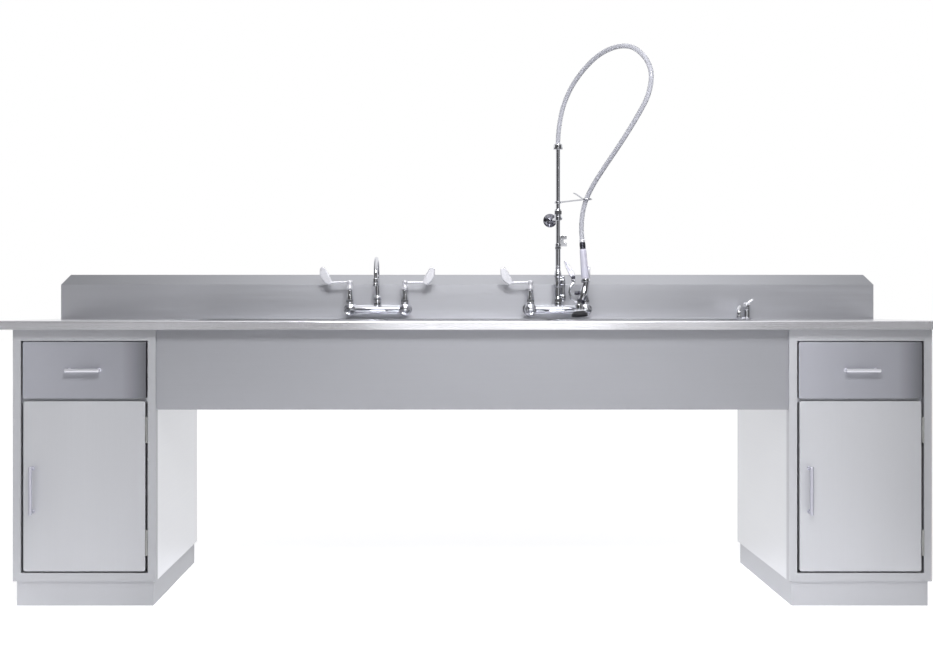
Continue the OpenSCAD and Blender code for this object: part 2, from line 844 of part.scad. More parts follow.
module at_valves() {
    for (x = [mixer_x, rinse_x], s = [-1, 1])
        translate([x + s * valve_pitch / 2, 0, valve_z]) children();
}

module valve_body() {
    arm_l = valve_out - flange_t;
    nut_l = flange_t * 1.5;
    sphere(valve_r);
    translate([0, 0, -valve_r - step]) cylinder(r1 = bonnet_r * 0.7, r2 = bonnet_r, h = valve_r);
    cylinder(r = bonnet_r + step / 2, h = neck_top);
    rotate([-90, 0, 0]) cylinder(r = bar_r * 0.75, h = arm_l);
    translate([0, arm_l - nut_l, 0]) rotate([-90, 0, 0])
        cylinder(r = bar_r * 1.1, h = nut_l, $fn = 6);
    rotate([90, 0, 0]) cylinder(r1 = bonnet_r, r2 = bonnet_r * 0.8, h = valve_r + step);
}

module faucet_body() {
    difference() {
        union() {
            for (s = [-1, 1]) translate([s * valve_pitch / 2, 0, 0]) valve_body();
            translate([-valve_pitch / 2, 0, 0]) rotate([0, 90, 0])
                cylinder(r = bar_r, h = valve_pitch);
            cylinder(r = socket_r, h = socket_h);
        }
        translate([0, 0, bar_r / 2]) cylinder(r = swivel_r + running, h = socket_h);
    }
}

module mixer_body() { color(chrome) translate([mixer_x, faucet_y, valve_z]) faucet_body(); }
module rinse_body() { color(chrome) translate([rinse_x, faucet_y, valve_z]) faucet_body(); }

module supply_flanges() {
    color(chrome) at_valves() translate([0, splash_y, 0]) rotate([90, 0, 0]) difference() {
        union() {
            cylinder(r = flange_r, h = flange_t / 3);
            cylinder(r1 = flange_r, r2 = flange_r * 0.75, h = flange_t);
        }
        translate([0, 0, -cut]) cylinder(r = shank_r + fit, h = flange_t + 2 * cut);
    }
}

shank_wall = 2.8;
shank_nut_r = 18;
shank_nut_t = 7;

module supply_shanks() {
    l = splash_d + flange_t;
    color(zinc) at_valves() translate([0, back_y, 0]) rotate([90, 0, 0]) difference() {
        union() {
            cylinder(r = shank_r, h = l);
            translate([0, 0, splash_d - sheet_t - shank_nut_t])
                cylinder(r = shank_nut_r, h = shank_nut_t, $fn = 6);
        }
        translate([0, 0, -cut]) cylinder(r = shank_r - shank_wall, h = l + 2 * cut);
    }
}

module valve_bonnets() {
    color(chrome) at_valves() translate([0, faucet_y, neck_top]) {
        cylinder(r = bonnet_r, h = bonnet_h / 4);
        cylinder(r = bonnet_r + step / 2, h = bonnet_h / 6, $fn = 6);
        translate([0, 0, bonnet_h / 4])
            cylinder(r1 = bonnet_r - step / 2, r2 = hub_r - step, h = bonnet_h * 3 / 4);
        cylinder(r = stem_r, h = stem_top - neck_top);
    }
}

blade_start = blade_reach * 2 / 3;
blade_low = 5;
blade_out_sag = 23;
blade_in_sag = 5;
blade_blunt = 6;

// A paddle between two arcs, cut blunt at both ends
module blade() {
    span = norm([blade_reach - blade_start, blade_rise + blade_low]);
    chord = span + 2 * blade_blunt;
    out_r = (chord * chord / 4 + blade_out_sag * blade_out_sag) / (2 * blade_out_sag);
    in_r = (chord * chord / 4 + blade_in_sag * blade_in_sag) / (2 * blade_in_sag);
    translate([blade_start, blade_t / 2, -blade_low])
        rotate([0, -atan2(blade_rise + blade_low, blade_reach - blade_start), 0])
            rotate([90, 0, 0]) linear_extrude(blade_t) intersection() {
                translate([span / 2, out_r - blade_out_sag]) circle(out_r);
                translate([span / 2, blade_in_sag - in_r]) circle(in_r);
                translate([0, -blade_out_sag]) square([span, 2 * blade_out_sag]);
            }
}

module wrist_handle() {
    arm_z = hub_z + hub_h - blade_low - step;
    dome = hub_h / 8;
    difference() {
        union() {
            translate([0, 0, hub_z]) cylinder(r = hub_r, h = hub_h - dome);
            translate([0, 0, hub_z + hub_h - dome])
                cylinder(r1 = hub_r, r2 = hub_r * 0.6, h = dome);
            translate([0, 0, arm_z]) {
                rotate([0, 90, 0]) cylinder(r = blade_t / 2, h = blade_start + blade_blunt);
                blade();
            }
        }
        translate([0, 0, hub_z - cut]) cylinder(r = stem_r + running, h = stem_top - hub_z + 2 * cut);
    }
}

module handle_at(x, s, turn) {
    color(chrome) translate([x + s * valve_pitch / 2, faucet_y, valve_z])
        rotate(turn) wrist_handle();
}

module mixer_hot_handle() { handle_at(mixer_x, -1, 180); }
module mixer_cold_handle() { handle_at(mixer_x, 1, 0); }
module rinse_hot_handle() { handle_at(rinse_x, -1, 180); }
module rinse_cold_handle() { handle_at(rinse_x, 1, -90); }

module gooseneck_spout() {
    foot = socket_h + joint_gap;
    bend_z = goose_top - goose_r - goose_bend;
    nut_h = socket_h * 0.8;
    color(chrome) translate([mixer_x, faucet_y, valve_z]) {
        translate([0, 0, bar_r]) cylinder(r = swivel_r, h = socket_h - bar_r + cut);
        translate([0, 0, foot]) cylinder(r = socket_r, h = nut_h);
        translate([0, 0, foot + nut_h])
            cylinder(r1 = socket_r - step / 2, r2 = goose_r + step / 2, h = nut_h / 4);
        translate([0, 0, foot]) cylinder(r = goose_r, h = bend_z - foot);
        translate([0, -goose_bend, bend_z]) rotate([90, 0, -90])
            rotate_extrude(angle = 180) translate([goose_bend, 0]) circle(goose_r);
        translate([0, -2 * goose_bend, bend_z - aerator_h / 4])
            cylinder(r = goose_r, h = aerator_h / 4);
        translate([0, -2 * goose_bend, bend_z - aerator_h * 5 / 4]) difference() {
            cylinder(r = aerator_r, h = aerator_h);
            translate([0, 0, -cut]) cylinder(r = goose_r - step / 2, h = aerator_h / 3 + cut);
        }
    }
}

// Rinse unit: adapter, riser, wall bracket and hook

adapter_z = valve_z + socket_h;
adapter_side = adapter_r + adapter_side_r * 0.4;
riser_z = adapter_z + adapter_h;
riser_top = deck_h + riser_up;
bracket_z = riser_top - bracket_drop;
hook_z = riser_top - hook_drop;
riser_nut_h = 10;
riser_clip_h = 40;
riser_clip_w = 24;
riser_clip_t = 3;
clamp_h = 16;
clamp_r = 13;
union_h = 26;

module at_riser() { translate([rinse_x, faucet_y, 0]) children(); }

module riser_adapter() {
    link_r = adapter_side_r * 0.8;
    color(chrome) at_riser() translate([0, 0, adapter_z]) {
        cylinder(r = adapter_r, h = adapter_h - adapter_r);
        translate([0, 0, adapter_h - adapter_r])
            cylinder(r1 = adapter_r, r2 = riser_low_r, h = adapter_r);
        cylinder(r = adapter_r + step, h = adapter_r, $fn = 6);
        translate([adapter_side, 0, link_r / 2])
            cylinder(r = adapter_side_r, h = adapter_h - adapter_r - link_r);
        for (z = [2 * link_r, adapter_h - adapter_r - 2 * link_r])
            translate([0, 0, z]) rotate([0, 90, 0]) cylinder(r = link_r, h = adapter_side);
    }
}

// A sprung clip round the riser with a notched plate at its right
module riser_clip() {
    translate([0, 0, riser_z + riser_low_h + riser_nut_h + joint_gap]) difference() {
        union() {
            cylinder(r = riser_r + running + riser_clip_t, h = riser_clip_h / 4);
            translate([riser_r, -riser_clip_t / 2, 0]) cube([riser_clip_w, riser_clip_t, riser_clip_h]);
        }
        translate([0, 0, -cut]) cylinder(r = riser_r + running, h = riser_clip_h + 2 * cut);
        translate([riser_r + riser_clip_w / 2, -riser_clip_t, riser_clip_h / 3])
            cube([riser_clip_w, 2 * riser_clip_t, riser_clip_h / 3]);
    }
}

module riser_pipe() {
    union_z = bracket_z + clamp_h / 2;
    color(chrome) at_riser() {
        translate([0, 0, riser_z]) cylinder(r = riser_low_r, h = riser_low_h);
        translate([0, 0, riser_z + riser_low_h])
            cylinder(r = riser_low_r + step, h = riser_nut_h, $fn = 6);
        translate([0, 0, riser_z]) cylinder(r = riser_r, h = riser_top - riser_z);
        translate([0, 0, union_z]) cylinder(r = clamp_r, h = union_h);
        translate([0, 0, union_z + union_h / 4])
            cylinder(r = clamp_r + step, h = union_h / 2, $fn = 6);
        riser_clip();
    }
}

bracket_flange_r = 26;
bracket_flange_t = 12;

module wall_bracket() {
    p = [rinse_x, faucet_y + clamp_r - cut, bracket_z];
    q = [rinse_x - bracket_shift, back_y - bracket_flange_t / 2, bracket_z];
    color(chrome) {
        difference() {
            translate([rinse_x, faucet_y, bracket_z - clamp_h / 2])
                cylinder(r = clamp_r, h = clamp_h);
            translate([rinse_x, faucet_y, bracket_z - clamp_h])
                cylinder(r = riser_r + running, h = 2 * clamp_h);
        }
        bar(p, q, bracket_rod_r);
        translate([q.x, back_y, bracket_z]) rotate([90, 0, 0]) {
            cylinder(r = bracket_flange_r, h = bracket_flange_t / 4);
            translate([0, 0, bracket_flange_t / 4])
                cylinder(r1 = bracket_flange_r, r2 = bracket_flange_r * 0.8,
                    h = bracket_flange_t / 4);
            translate([0, 0, bracket_flange_t / 2])
                cylinder(r1 = bracket_flange_r * 0.8, r2 = bracket_rod_r + step,
                    h = bracket_flange_t / 2);
        }
    }
}

// The hose hangs in an upright plane through the riser, turned towards the front
module in_loop() { at_riser() rotate(-loop_turn) children(); }

hook_reach = 161;
hook_ring_r = 17;

module finger_hook() {
    prong = 55;
    color(chrome) in_loop() translate([0, 0, hook_z]) {
        difference() {
            translate([0, 0, -clamp_h / 4]) cylinder(r = clamp_r, h = clamp_h / 2);
            translate([0, 0, -clamp_h]) cylinder(r = riser_r + running, h = 2 * clamp_h);
        }
        bar([clamp_r - cut, 0, 0], [hook_reach - hook_ring_r, 0, 0], hook_wire_r);
        bar([-clamp_r + cut, 0, 0], [-clamp_r - 3 * cut, 0, 0], hook_wire_r);
        translate([hook_reach, 0, 0]) rotate_extrude()
            translate([hook_ring_r, 0]) circle(hook_wire_r);
        bar([hook_reach - hook_ring_r, 0, 0], [hook_reach - prong - hook_ring_r, 0, prong / 2],
            hook_wire_r);
    }
}

collar_h = 21;
collar_low = 5;
collar_top = riser_top + collar_h - collar_low;

module spring_collar() {
    color(chrome) at_riser() translate([0, 0, riser_top - collar_low]) difference() {
        union() {
            cylinder(r = spring_r + wire_r, h = collar_h);
            cylinder(r = spring_r + wire_r + step, h = collar_h / 3, $fn = 6);
        }
        translate([0, 0, -cut]) cylinder(r = max(riser_r, hose_r) + fit, h = collar_h + 2 * cut);
    }
}

// Middle line of the hose in the plane of the loop: distance from the riser, height over its top
hose_route = [[0, 0], [0, 23], [2, 50], [8, 85], [21, 129], [42, 171], [74, 212],
    [114, 247], [162, 278], [216, 303], [276, 317], [340, 318], [400, 303], [450, 268],
    [480, 229], [490, 193], [485, 157], [469, 120], [434, 77], [374, 15], [310, -45],
    [248, -101], [194, -154], [159, -200], [142, -237], [134, -273], [132, -303], [133, -323],
    [135.5, -343]];
route_steps = 6;

function curve_point(a, b, c, d, t) =
    ((2 * b) + (c - a) * t + (2 * a - 5 * b + 4 * c - d) * t * t
        + (3 * b - a - 3 * c + d) * t * t * t) / 2;

function route_curve(p) = [
    for (i = [0:len(p) - 2], k = [0:route_steps - 1])
        curve_point(p[max(i - 1, 0)], p[i], p[i + 1], p[min(i + 2, len(p) - 1)], k / route_steps),
    p[len(p) - 1]];

fine = route_curve(hose_route);
along = [for (i = 0, s = 0; i < len(fine);
    i = i + 1, s = i < len(fine) ? s + norm(fine[i] - fine[i - 1]) : s) s];
hose_l = along[len(along) - 1];
r_table = [for (i = [0:len(fine) - 1]) [along[i], fine[i].x]];
z_table = [for (i = [0:len(fine) - 1]) [along[i], riser_top + fine[i].y]];

function on_route(s) = [lookup(s, r_table), 0, lookup(s, z_table)];
function unit(v) = v / norm(v);
function heading(s) =
    let (a = max(s - hose_r, 0), b = min(s + hose_r, hose_l)) unit(on_route(b) - on_route(a));
function outward(s) = let (h = heading(s)) [-h.z, 0, h.x];

// Faces between rings of points, closed at both ends, all triangles
function ring_faces(rings, sides) = concat(
    [for (j = [1:sides - 2]) [0, j, j + 1]],
    [for (i = [0:rings - 2], j = [0:sides - 1], half = [0, 1])
        let (a = i * sides + j, b = i * sides + (j + 1) % sides, c = a + sides, d = b + sides)
            half == 0 ? [a, c, b] : [b, c, d]],
    [for (j = [1:sides - 2]) let (e = (rings - 1) * sides) [e, e + j + 1, e + j]]);

hose_sides = 10;

module hose() {
    rings = ceil(hose_l / (3 * hose_r)) + 1;
    points = [for (i = [0:rings - 1], j = [0:hose_sides - 1])
        let (s = i * hose_l / (rings - 1), n = outward(s), a = j * 360 / hose_sides)
            on_route(s) + hose_r * (cos(a) * n + [0, sin(a), 0])];
    color(hose_grey) in_loop() polyhedron(points, ring_faces(rings, hose_sides));
}

// The spring is wound closer at its foot, and lies to the outside of the bend
curl_steps = 8;
wire_sides = 6;
spring_gain = 0.25;
spring_start = collar_top - riser_top + 2 * wire_r;

function wound(u) = u * (1 + spring_gain * (1 - u));
function coil_turn(u) = 360 * spring_curls * wound(u);
function coil_arm(u) = let (s = spring_start + u * spring_l)
    cos(coil_turn(u)) * outward(s) + [0, sin(coil_turn(u)), 0];
function coil_middle(u) = let (s = spring_start + u * spring_l)
    on_route(s) + outward(s) * spring_shift * min(1, u * 6);
function coil_point(u) = coil_middle(u) + spring_r * coil_arm(u);

coil_count = spring_curls * curl_steps;
coil = [for (i = [0:coil_count]) coil_point(i / coil_count)];
coil_end = coil[coil_count] + 2 * wire_r * unit(coil[coil_count] - coil[coil_count - 1]);
wire = concat([coil[0] - [0, 0, 2 * wire_r]], coil, [coil_end]);

function wire_ring(i) =
    let (w = unit(wire[min(i + 1, len(wire) - 1)] - wire[max(i - 1, 0)]),
        arm = coil_arm(min(max(i - 1, 0), coil_count) / coil_count),
        u = unit(arm - w * (arm * w)), v = cross(w, u))
        [for (j = [0:wire_sides - 1]) let (a = j * 360 / wire_sides)
            wire[i] + wire_r * (cos(a) * u + sin(a) * v)];

spring_gap = min([for (i = [1:coil_count - curl_steps - 2], k = [curl_steps - 2:curl_steps + 2])
    norm(wire[i + k] - wire[i])]) - 2 * wire_r;
echo("least gap between the spring's curls", spring_gap);
echo("length of the hose", hose_l);

module hose_spring() {
    points = [for (i = [0:len(wire) - 1]) each wire_ring(i)];
    color(chrome) in_loop() polyhedron(points, ring_faces(len(wire), wire_sides));
}

// Spray valve, hung on the hose's end, its lever and face towards the middle of the counter

hose_end = hose_route[len(hose_route) - 1];
end_step = hose_end - hose_route[len(hose_route) - 2];
spray_lean = atan2(end_step.x, -end_step.y);
grip_z = -ferrule_l - grip_l;
body_z = grip_z - spray_l;
face_shift = 31;
collar_d = 14;
ball_z = grip_z - spray_l * 0.52;
ball_x = face_shift * 0.35;
pivot_out = 43;
pivot_up = 8;
pivot = [pivot_out, 0, grip_z + pivot_up];
pivot_pin_r = 2;
ear_r = 7;
lever_w = 8;
lever_tip_out = 68;
lever_tip_up = 67;
guard_r = 40;
guard_t = 5;
guard_drop = 46;
guard_x = 21;
guard_z = grip_z - guard_drop;

module at_spray() {
    in_loop() translate([hose_end.x, 0, riser_top + hose_end.y]) rotate([0, -spray_lean, 0])
        rotate(loop_turn + 180) children();
}

module hose_ferrule() {
    color(dark_steel) at_spray() translate([0, 0, -ferrule_l]) {
        cylinder(r = ferrule_r - step / 2, h = ferrule_l);
        translate([0, 0, ferrule_l / 3])
            cylinder(r = ferrule_r + step / 2, h = ferrule_l / 3, $fn = 6);
        cylinder(r = ferrule_r, h = ferrule_l / 6);
        translate([0, 0, ferrule_l * 5 / 6]) cylinder(r = ferrule_r, h = ferrule_l / 6);
    }
}

module spray_grip() {
    round_z = grip_foot_r / 4;
    color(lavender) at_spray() translate([0, 0, grip_z]) rotate_extrude() polygon([
        [0, 0], [grip_foot_r - round_z, 0], [grip_foot_r, round_z],
        [grip_foot_r, grip_l / 4], [grip_top_r, grip_l - grip_l / 4],
        [grip_top_r, grip_l - round_z], [grip_top_r - round_z / 2, grip_l], [0, grip_l]]);
}

module spray_body() {
    guard_end = [guard_x + guard_r * cos(60), 0, guard_z + guard_r * sin(60)];
    block_h = guard_t * 1.2;
    ear_t = lever_w / 2 - 2 * fit;
    color(chrome) at_spray() {
        translate([0, 0, grip_z - collar_d]) cylinder(r = spray_r, h = collar_d);
        bar([0, 0, grip_z - collar_d + cut], [ball_x, 0, ball_z], spray_r * 0.8);
        translate([ball_x, 0, ball_z]) sphere(spray_r - fit);
        bar([ball_x, 0, ball_z], [face_shift, 0, body_z + collar_d], spray_r * 0.7);
        translate([face_shift, 0, body_z]) cylinder(r = spray_r * 0.85, h = collar_d * 1.3);
        translate([guard_x, 0, guard_z]) rotate([90, 0, 0]) rotate(-80)
            rotate_extrude(angle = 140) translate([guard_r, 0]) circle(guard_t);
        translate(guard_end) sphere(guard_t + fit);
        bar(guard_end, [pivot.x, 0, pivot.z - ear_r - guard_t], guard_t - fit);
        translate([pivot.x, 0, pivot.z - ear_r - guard_t]) cube([2 * ear_r + fit, 2 * lever_w, block_h],
            center = true);
        for (s = [-1, 1]) translate([pivot.x, s * lever_w * 3 / 4, pivot.z]) {
            rotate([90, 0, 0]) cylinder(r = ear_r, h = ear_t, center = true);
            translate([0, 0, -ear_r * 0.9]) cube([ear_r * 1.7, ear_t, ear_r * 1.4], center = true);
        }
        translate([pivot.x, 0, pivot.z]) rotate([90, 0, 0])
            cylinder(r = pivot_pin_r, h = 2 * lever_w, center = true);
    }
}

module spray_face() {
    color(rubber) at_spray() translate([face_shift, 0, body_z]) {
        translate([0, 0, -face_r * 0.7])
            cylinder(r1 = face_r * 0.9, r2 = spray_r * 0.8, h = face_r * 0.7);
        translate([0, 0, -face_r * 0.7 - bumper_h / 2]) difference() {
            cylinder(r = face_r, h = bumper_h);
            translate([0, 0, -cut]) cylinder(r = face_r * 0.75, h = cut + bumper_h / 4);
        }
    }
}

module spray_lever() {
    rise = [lever_tip_out - pivot.x, lever_tip_up - pivot_up];
    color(chrome) at_spray() translate(pivot) difference() {
        union() {
            rotate([90, 0, 0]) cylinder(r = ear_r - cut / 2, h = lever_w, center = true);
            rotate([90, 0, 0]) translate([0, 0, -lever_w / 2]) linear_extrude(lever_w)
                polygon([[-ear_r * 0.6, 0], [ear_r * 0.8, 0], [rise.x, rise.y],
                    [rise.x - cut, rise.y + cut / 2]]);
            translate([0, 0, ear_r * 1.5]) rotate([90, 0, 0])
                translate([0, -ear_r * 1.5, -lever_w]) linear_extrude(2 * lever_w)
                polygon([[rise.x * 0.45, rise.y * 0.55], [rise.x * 0.6, rise.y * 0.5],
                    [rise.x + cut, rise.y], [rise.x - cut, rise.y + cut]]);
        }
        rotate([90, 0, 0]) cylinder(r = pivot_pin_r + running, h = 4 * lever_w, center = true);
    }
}

// Deck tap

tap_x = counter_l / 2 - tap_in;
tap_y = faucet_y;
tap_shank_r = 8;
tap_flange_r = 20;
tap_flange_t = 5;
tap_ring_wall = 3.5;
tap_ring_r = tap_r + tap_ring_wall;
tap_ring_h = 18;
tap_ring_z = deck_h + tap_h - tap_ring_h - joint_gap;
tap_stem_r = 4;
tap_cap_h = 8;
tap_lever_l = 30;
tap_lever_rise = 14;
tap_nozzle_gap = 6;
tap_shank_l = 45;

module tap_column() {
    color(chrome) translate([tap_x, tap_y, 0]) difference() {
        union() {
            translate([0, 0, deck_h]) cylinder(r1 = tap_flange_r, r2 = tap_r + step, h = tap_flange_t);
            translate([0, 0, deck_h]) cylinder(r = tap_r, h = tap_h);
            translate([0, 0, deck_h]) cylinder(r = tap_r + step, h = tap_ring_z - deck_h - joint_gap);
            translate([0, 0, deck_h - tap_shank_l]) cylinder(r = tap_shank_r, h = tap_shank_l);
            translate([0, 0, deck_under - tap_flange_t])
                cylinder(r = tap_flange_r * 0.8, h = tap_flange_t, $fn = 6);
        }
        translate([0, 0, deck_h + tap_h / 2])
            cylinder(r = tap_stem_r + running, h = tap_h);
    }
}

module tap_spout() {
    z = tap_ring_z + tap_ring_h / 2;
    low = deck_h + tap_nozzle_gap;
    bend = 3 * tap_tube_r;
    color(chrome) translate([tap_x, tap_y, 0]) rotate(-tap_turn) {
        difference() {
            union() {
                translate([0, 0, tap_ring_z]) cylinder(r = tap_ring_r, h = tap_ring_h);
                translate([0, 0, z]) rotate([90, 0, 0]) cylinder(r = tap_tube_r, h = tap_reach - bend);
            }
            translate([0, 0, tap_ring_z - cut])
                cylinder(r = tap_r + running, h = tap_ring_h + 2 * cut);
        }
        translate([0, bend - tap_reach, z - bend]) rotate([90, 0, -90])
            rotate_extrude(angle = 90) translate([bend, 0]) circle(tap_tube_r);
        translate([0, -tap_reach, low]) difference() {
            cylinder(r = tap_tube_r, h = z - bend - low);
            translate([0, 0, -cut]) cylinder(r = tap_tube_r - step, h = bend / 2 + cut);
        }
    }
}

module tap_lever() {
    top = deck_h + tap_h + joint_gap;
    color(chrome) translate([tap_x, tap_y, top]) {
        cylinder(r = tap_r + step / 2, h = tap_cap_h * 0.7);
        translate([0, 0, tap_cap_h * 0.7])
            cylinder(r1 = tap_r + step / 2, r2 = tap_r * 0.6, h = tap_cap_h * 0.3);
        translate([0, 0, -tap_h / 3]) cylinder(r = tap_stem_r, h = tap_h / 3 + cut);
        bar([0, 0, tap_cap_h / 2], [tap_lever_l, 0, tap_cap_h / 2 + tap_lever_rise], tap_stem_r);
        translate([tap_lever_l, 0, tap_cap_h / 2 + tap_lever_rise]) sphere(tap_stem_r * 1.2);
    }
}

deck();
backsplash();
left_bowl();
middle_bowl();
right_bowl();
drain_bodies();
drain_strainers();
drain_locknuts();
drain_tailpieces();
front_apron();
deck_channels();
left_cabinet_shell();
right_cabinet_shell();
face_frames();
kick_bases();
shelves();
shelf_clips();
drawer_runners();
door_hinge_frame_leaves();
door_hinge_pins();
door_catches();
left_drawer_front();
left_drawer_box();
left_drawer_pull();
left_drawer_rails();
right_drawer_front();
right_drawer_box();
right_drawer_pull();
right_drawer_rails();
left_door();
left_door_pull();
left_door_hinge_leaves();
right_door();
right_door_pull();
right_door_hinge_leaves();
mixer_body();
rinse_body();
supply_flanges();
supply_shanks();
valve_bonnets();
mixer_hot_handle();
mixer_cold_handle();
gooseneck_spout();
rinse_hot_handle();
rinse_cold_handle();
riser_adapter();
riser_pipe();
wall_bracket();
finger_hook();
spring_collar();
hose_spring();
hose();
hose_ferrule();
spray_grip();
spray_body();
spray_face();
spray_lever();
tap_column();
tap_spout();
tap_lever();
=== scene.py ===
# Sink station with three bowls, two end cabinets, a mixer faucet, a spring-hose rinse unit and a deck tap.
# Everything is in metres: X to the right, Y to the wall, Z up, the floor under the middle at the origin.
import math

import bmesh
import bpy
from bpy.props import FloatProperty, FloatVectorProperty, IntProperty, PointerProperty
from bpy.types import Operator, Panel, PropertyGroup
from mathutils import Matrix, Vector


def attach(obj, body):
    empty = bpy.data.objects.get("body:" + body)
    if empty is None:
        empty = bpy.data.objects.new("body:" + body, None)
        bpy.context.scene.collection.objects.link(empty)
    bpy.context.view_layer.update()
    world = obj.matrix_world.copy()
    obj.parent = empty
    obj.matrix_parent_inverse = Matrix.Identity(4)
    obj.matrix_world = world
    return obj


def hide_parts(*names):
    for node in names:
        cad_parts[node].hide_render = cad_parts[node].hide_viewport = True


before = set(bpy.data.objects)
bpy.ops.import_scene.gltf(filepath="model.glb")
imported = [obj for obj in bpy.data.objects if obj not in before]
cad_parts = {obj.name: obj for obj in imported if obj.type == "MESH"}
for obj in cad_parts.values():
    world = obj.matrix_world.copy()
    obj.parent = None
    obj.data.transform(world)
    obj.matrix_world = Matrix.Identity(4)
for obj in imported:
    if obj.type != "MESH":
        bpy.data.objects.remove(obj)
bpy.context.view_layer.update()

bl_info = {
    "name": "Sink station",
    "version": (1, 0, 0),
    "blender": (4, 5, 0),
    "location": "3D View > Sidebar > Sink station",
    "description": "Builds the stainless sink station over its frame, piece by piece",
    "category": "Object",
}

ROOT = "station"
CABINET_X = 1242.2  # from the counter's middle to each cabinet's middle, in millimetres


# Colours

def linear(hex_colour):
    """An sRGB hex colour as linear red, green, blue and alpha."""
    value = hex_colour.lstrip("#")
    parts = [int(value[i:i + 2], 16) / 255 for i in (0, 2, 4)]
    return tuple(c / 12.92 if c <= 0.04045 else ((c + 0.055) / 1.055) ** 2.4 for c in parts) + (1.0,)


def colour(default, name, description):
    return FloatVectorProperty(name=name, description=description, default=linear(default)[:3],
                               subtype="COLOR", size=3, min=0, max=1)


def length(default, name, description):
    return FloatProperty(name=name, description=description, default=default, min=0,
                         unit="LENGTH", subtype="DISTANCE", precision=5)


class FinishSettings(PropertyGroup):
    satin: colour("#BEBFC5", "Satin steel", "Splash and bowls")
    edge: colour("#E9E9EE", "Counter steel", "Counter with its rounded edge")
    apron: colour("#A7A8AE", "Apron steel", "Apron between the cabinets")
    upright: colour("#CECFD4", "Upright satin steel", "Doors, grain upright")
    frames: colour("#C7C8CD", "Frame steel", "Face frames and kick bases")
    level: colour("#B4B5BE", "Level satin steel", "Drawer fronts, grain level")
    mill: colour("#DEDFE3", "Mill finish", "Cabinet shells and drawer boxes")
    chrome: colour("#DFE0E6", "Polished chrome", "Faucets and the spray's body")
    # drawer and door pulls are one plating: the drawers' is painted lighter as a painted highlight, the
    # doors' darker as painted shade
    drawer_bar: colour("#E2E2E9", "Plate with painted highlight", "Pulls of the drawers")
    door_bar: colour("#BEBEC9", "Plate with painted shade", "Pulls of the doors and the squeeze lever")
    blade: colour("#ECECF3", "Pearl plate", "Wrist blades and the tap's lever")
    wire: colour("#E8E8EE", "Spring wire", "Bright wire of the hose's spring")
    painted_dark_chrome: colour("#8E8E97", "Chrome with painted shade", "Wall flange of the riser's bracket")
    dark: colour("#4A4A52", "Dark nickel", "Hose ferrule and the spray's pivot")
    zinc: colour("#9C9D9B", "Zinc plate", "Runners, channels, nuts and hinges")
    hose: colour("#C3C4CE", "Hose", "Grey hose with its woven layer")
    grip: colour("#CCCBDB", "Grip", "Moulded grip of the spray valve")
    rubber: colour("#26262B", "Rubber", "Spray face, catches and washers")
    floor: colour("#F4F4F6", "Floor", "Plain pale floor")
    grain_width: length(0.0013, "Grain width", "Distance between the grain's streaks")
    grain_length: length(0.35, "Grain length", "Length of the grain's streaks")


class HoseSettings(PropertyGroup):
    hose_radius: length(0.0085, "Hose radius", "Outer radius of the hose")
    wire_radius: length(0.0018, "Wire radius", "Radius of the spring's wire")
    spring_radius: length(0.0152, "Spring radius", "From the spring's middle to its wire")
    spring_length: length(0.690, "Spring length", "Length of hose that the spring covers")
    curls: IntProperty(name="Curls", description="Number of the spring's curls", default=48, min=10, max=60)


# Materials: every metal keeps the default IOR

PLASTIC_IOR, PVC_IOR = 1.5, 1.52


def give(tree, node, inputs):
    """Gives a node its inputs, as values or as links from other sockets."""
    for key, value in inputs.items():
        if isinstance(value, bpy.types.NodeSocket):
            tree.links.new(value, node.inputs[key])
        else:
            node.inputs[key].default_value = value


def add(tree, kind, inputs=None, **settings):
    """Adds a shader node with its settings and inputs."""
    node = tree.nodes.new("ShaderNode" + kind)
    for key, value in settings.items():
        setattr(node, key, value)
    give(tree, node, inputs or {})
    return node


def shades(tree, factor, dark, light, low, high):
    """A colour ramp between two colours, as its colour socket."""
    return ramped(tree, factor, [(low, dark), (high, light)])


def ramped(tree, factor, stops, ease="LINEAR"):
    """A colour ramp over pairs of a place from 0 to 1 and a colour, as its colour socket."""
    ramp = add(tree, "ValToRGB", {"Fac": factor})
    ramp.color_ramp.interpolation = ease
    made = ramp.color_ramp.elements
    while len(made) < len(stops):
        made.new(0.5)
    for stop, (spot, tone) in zip(made, stops):
        stop.position = spot
        stop.color = tone
    return ramp.outputs["Color"]


def scaled(rgb, factor):
    return tuple(min(1.0, c * factor) for c in rgb[:3]) + (1.0,)


def surface(name):
    """A new material, its node tree, its shader and its object coordinates."""
    material = bpy.data.materials.new(name)
    material.use_nodes = True
    tree = material.node_tree
    shader = tree.nodes["Principled BSDF"]
    where = add(tree, "TexCoord").outputs["Object"]
    return material, tree, shader, where


def span(tree, value, low, high, from_low, from_high):
    """A value carried over from one range to another."""
    return add(tree, "MapRange", {"Value": value, "From Min": from_low, "From Max": from_high,
                                 "To Min": low, "To Max": high}).outputs["Result"]


def greys(tree, x, levels, ease="LINEAR"):
    """Grey that changes along X. levels are pairs of X in metres and brightness."""
    low, high = levels[0][0], levels[-1][0]
    stops = [((spot - low) / (high - low), (level,) * 3 + (1,)) for spot, level in levels]
    return ramped(tree, span(tree, x, 0.0, 1.0, low, high), stops, ease)


def calc(tree, operation, *values):
    """A maths node over its values."""
    return add(tree, "Math", dict(enumerate(values)), operation=operation).outputs[0]


def times(tree, a, b):
    """One colour multiplied by another."""
    return add(tree, "Mix", {0: 1.0, 6: a, 7: b}, data_type="RGBA", blend_type="MULTIPLY").outputs[2]


def mapped(tree, where, scale, turn=0.0):
    return add(tree, "Mapping", {"Vector": where, "Scale": scale, "Rotation": (0, 0, turn)}).outputs[0]


def noise(tree, where, scale, detail, roughness=0.5):
    return add(tree, "TexNoise", {"Vector": where, "Scale": scale, "Detail": detail,
                                  "Roughness": roughness}).outputs["Fac"]


def bumped(tree, height, strength, distance=0.0002):
    return add(tree, "Bump", {"Height": height, "Strength": strength, "Distance": distance}).outputs[0]


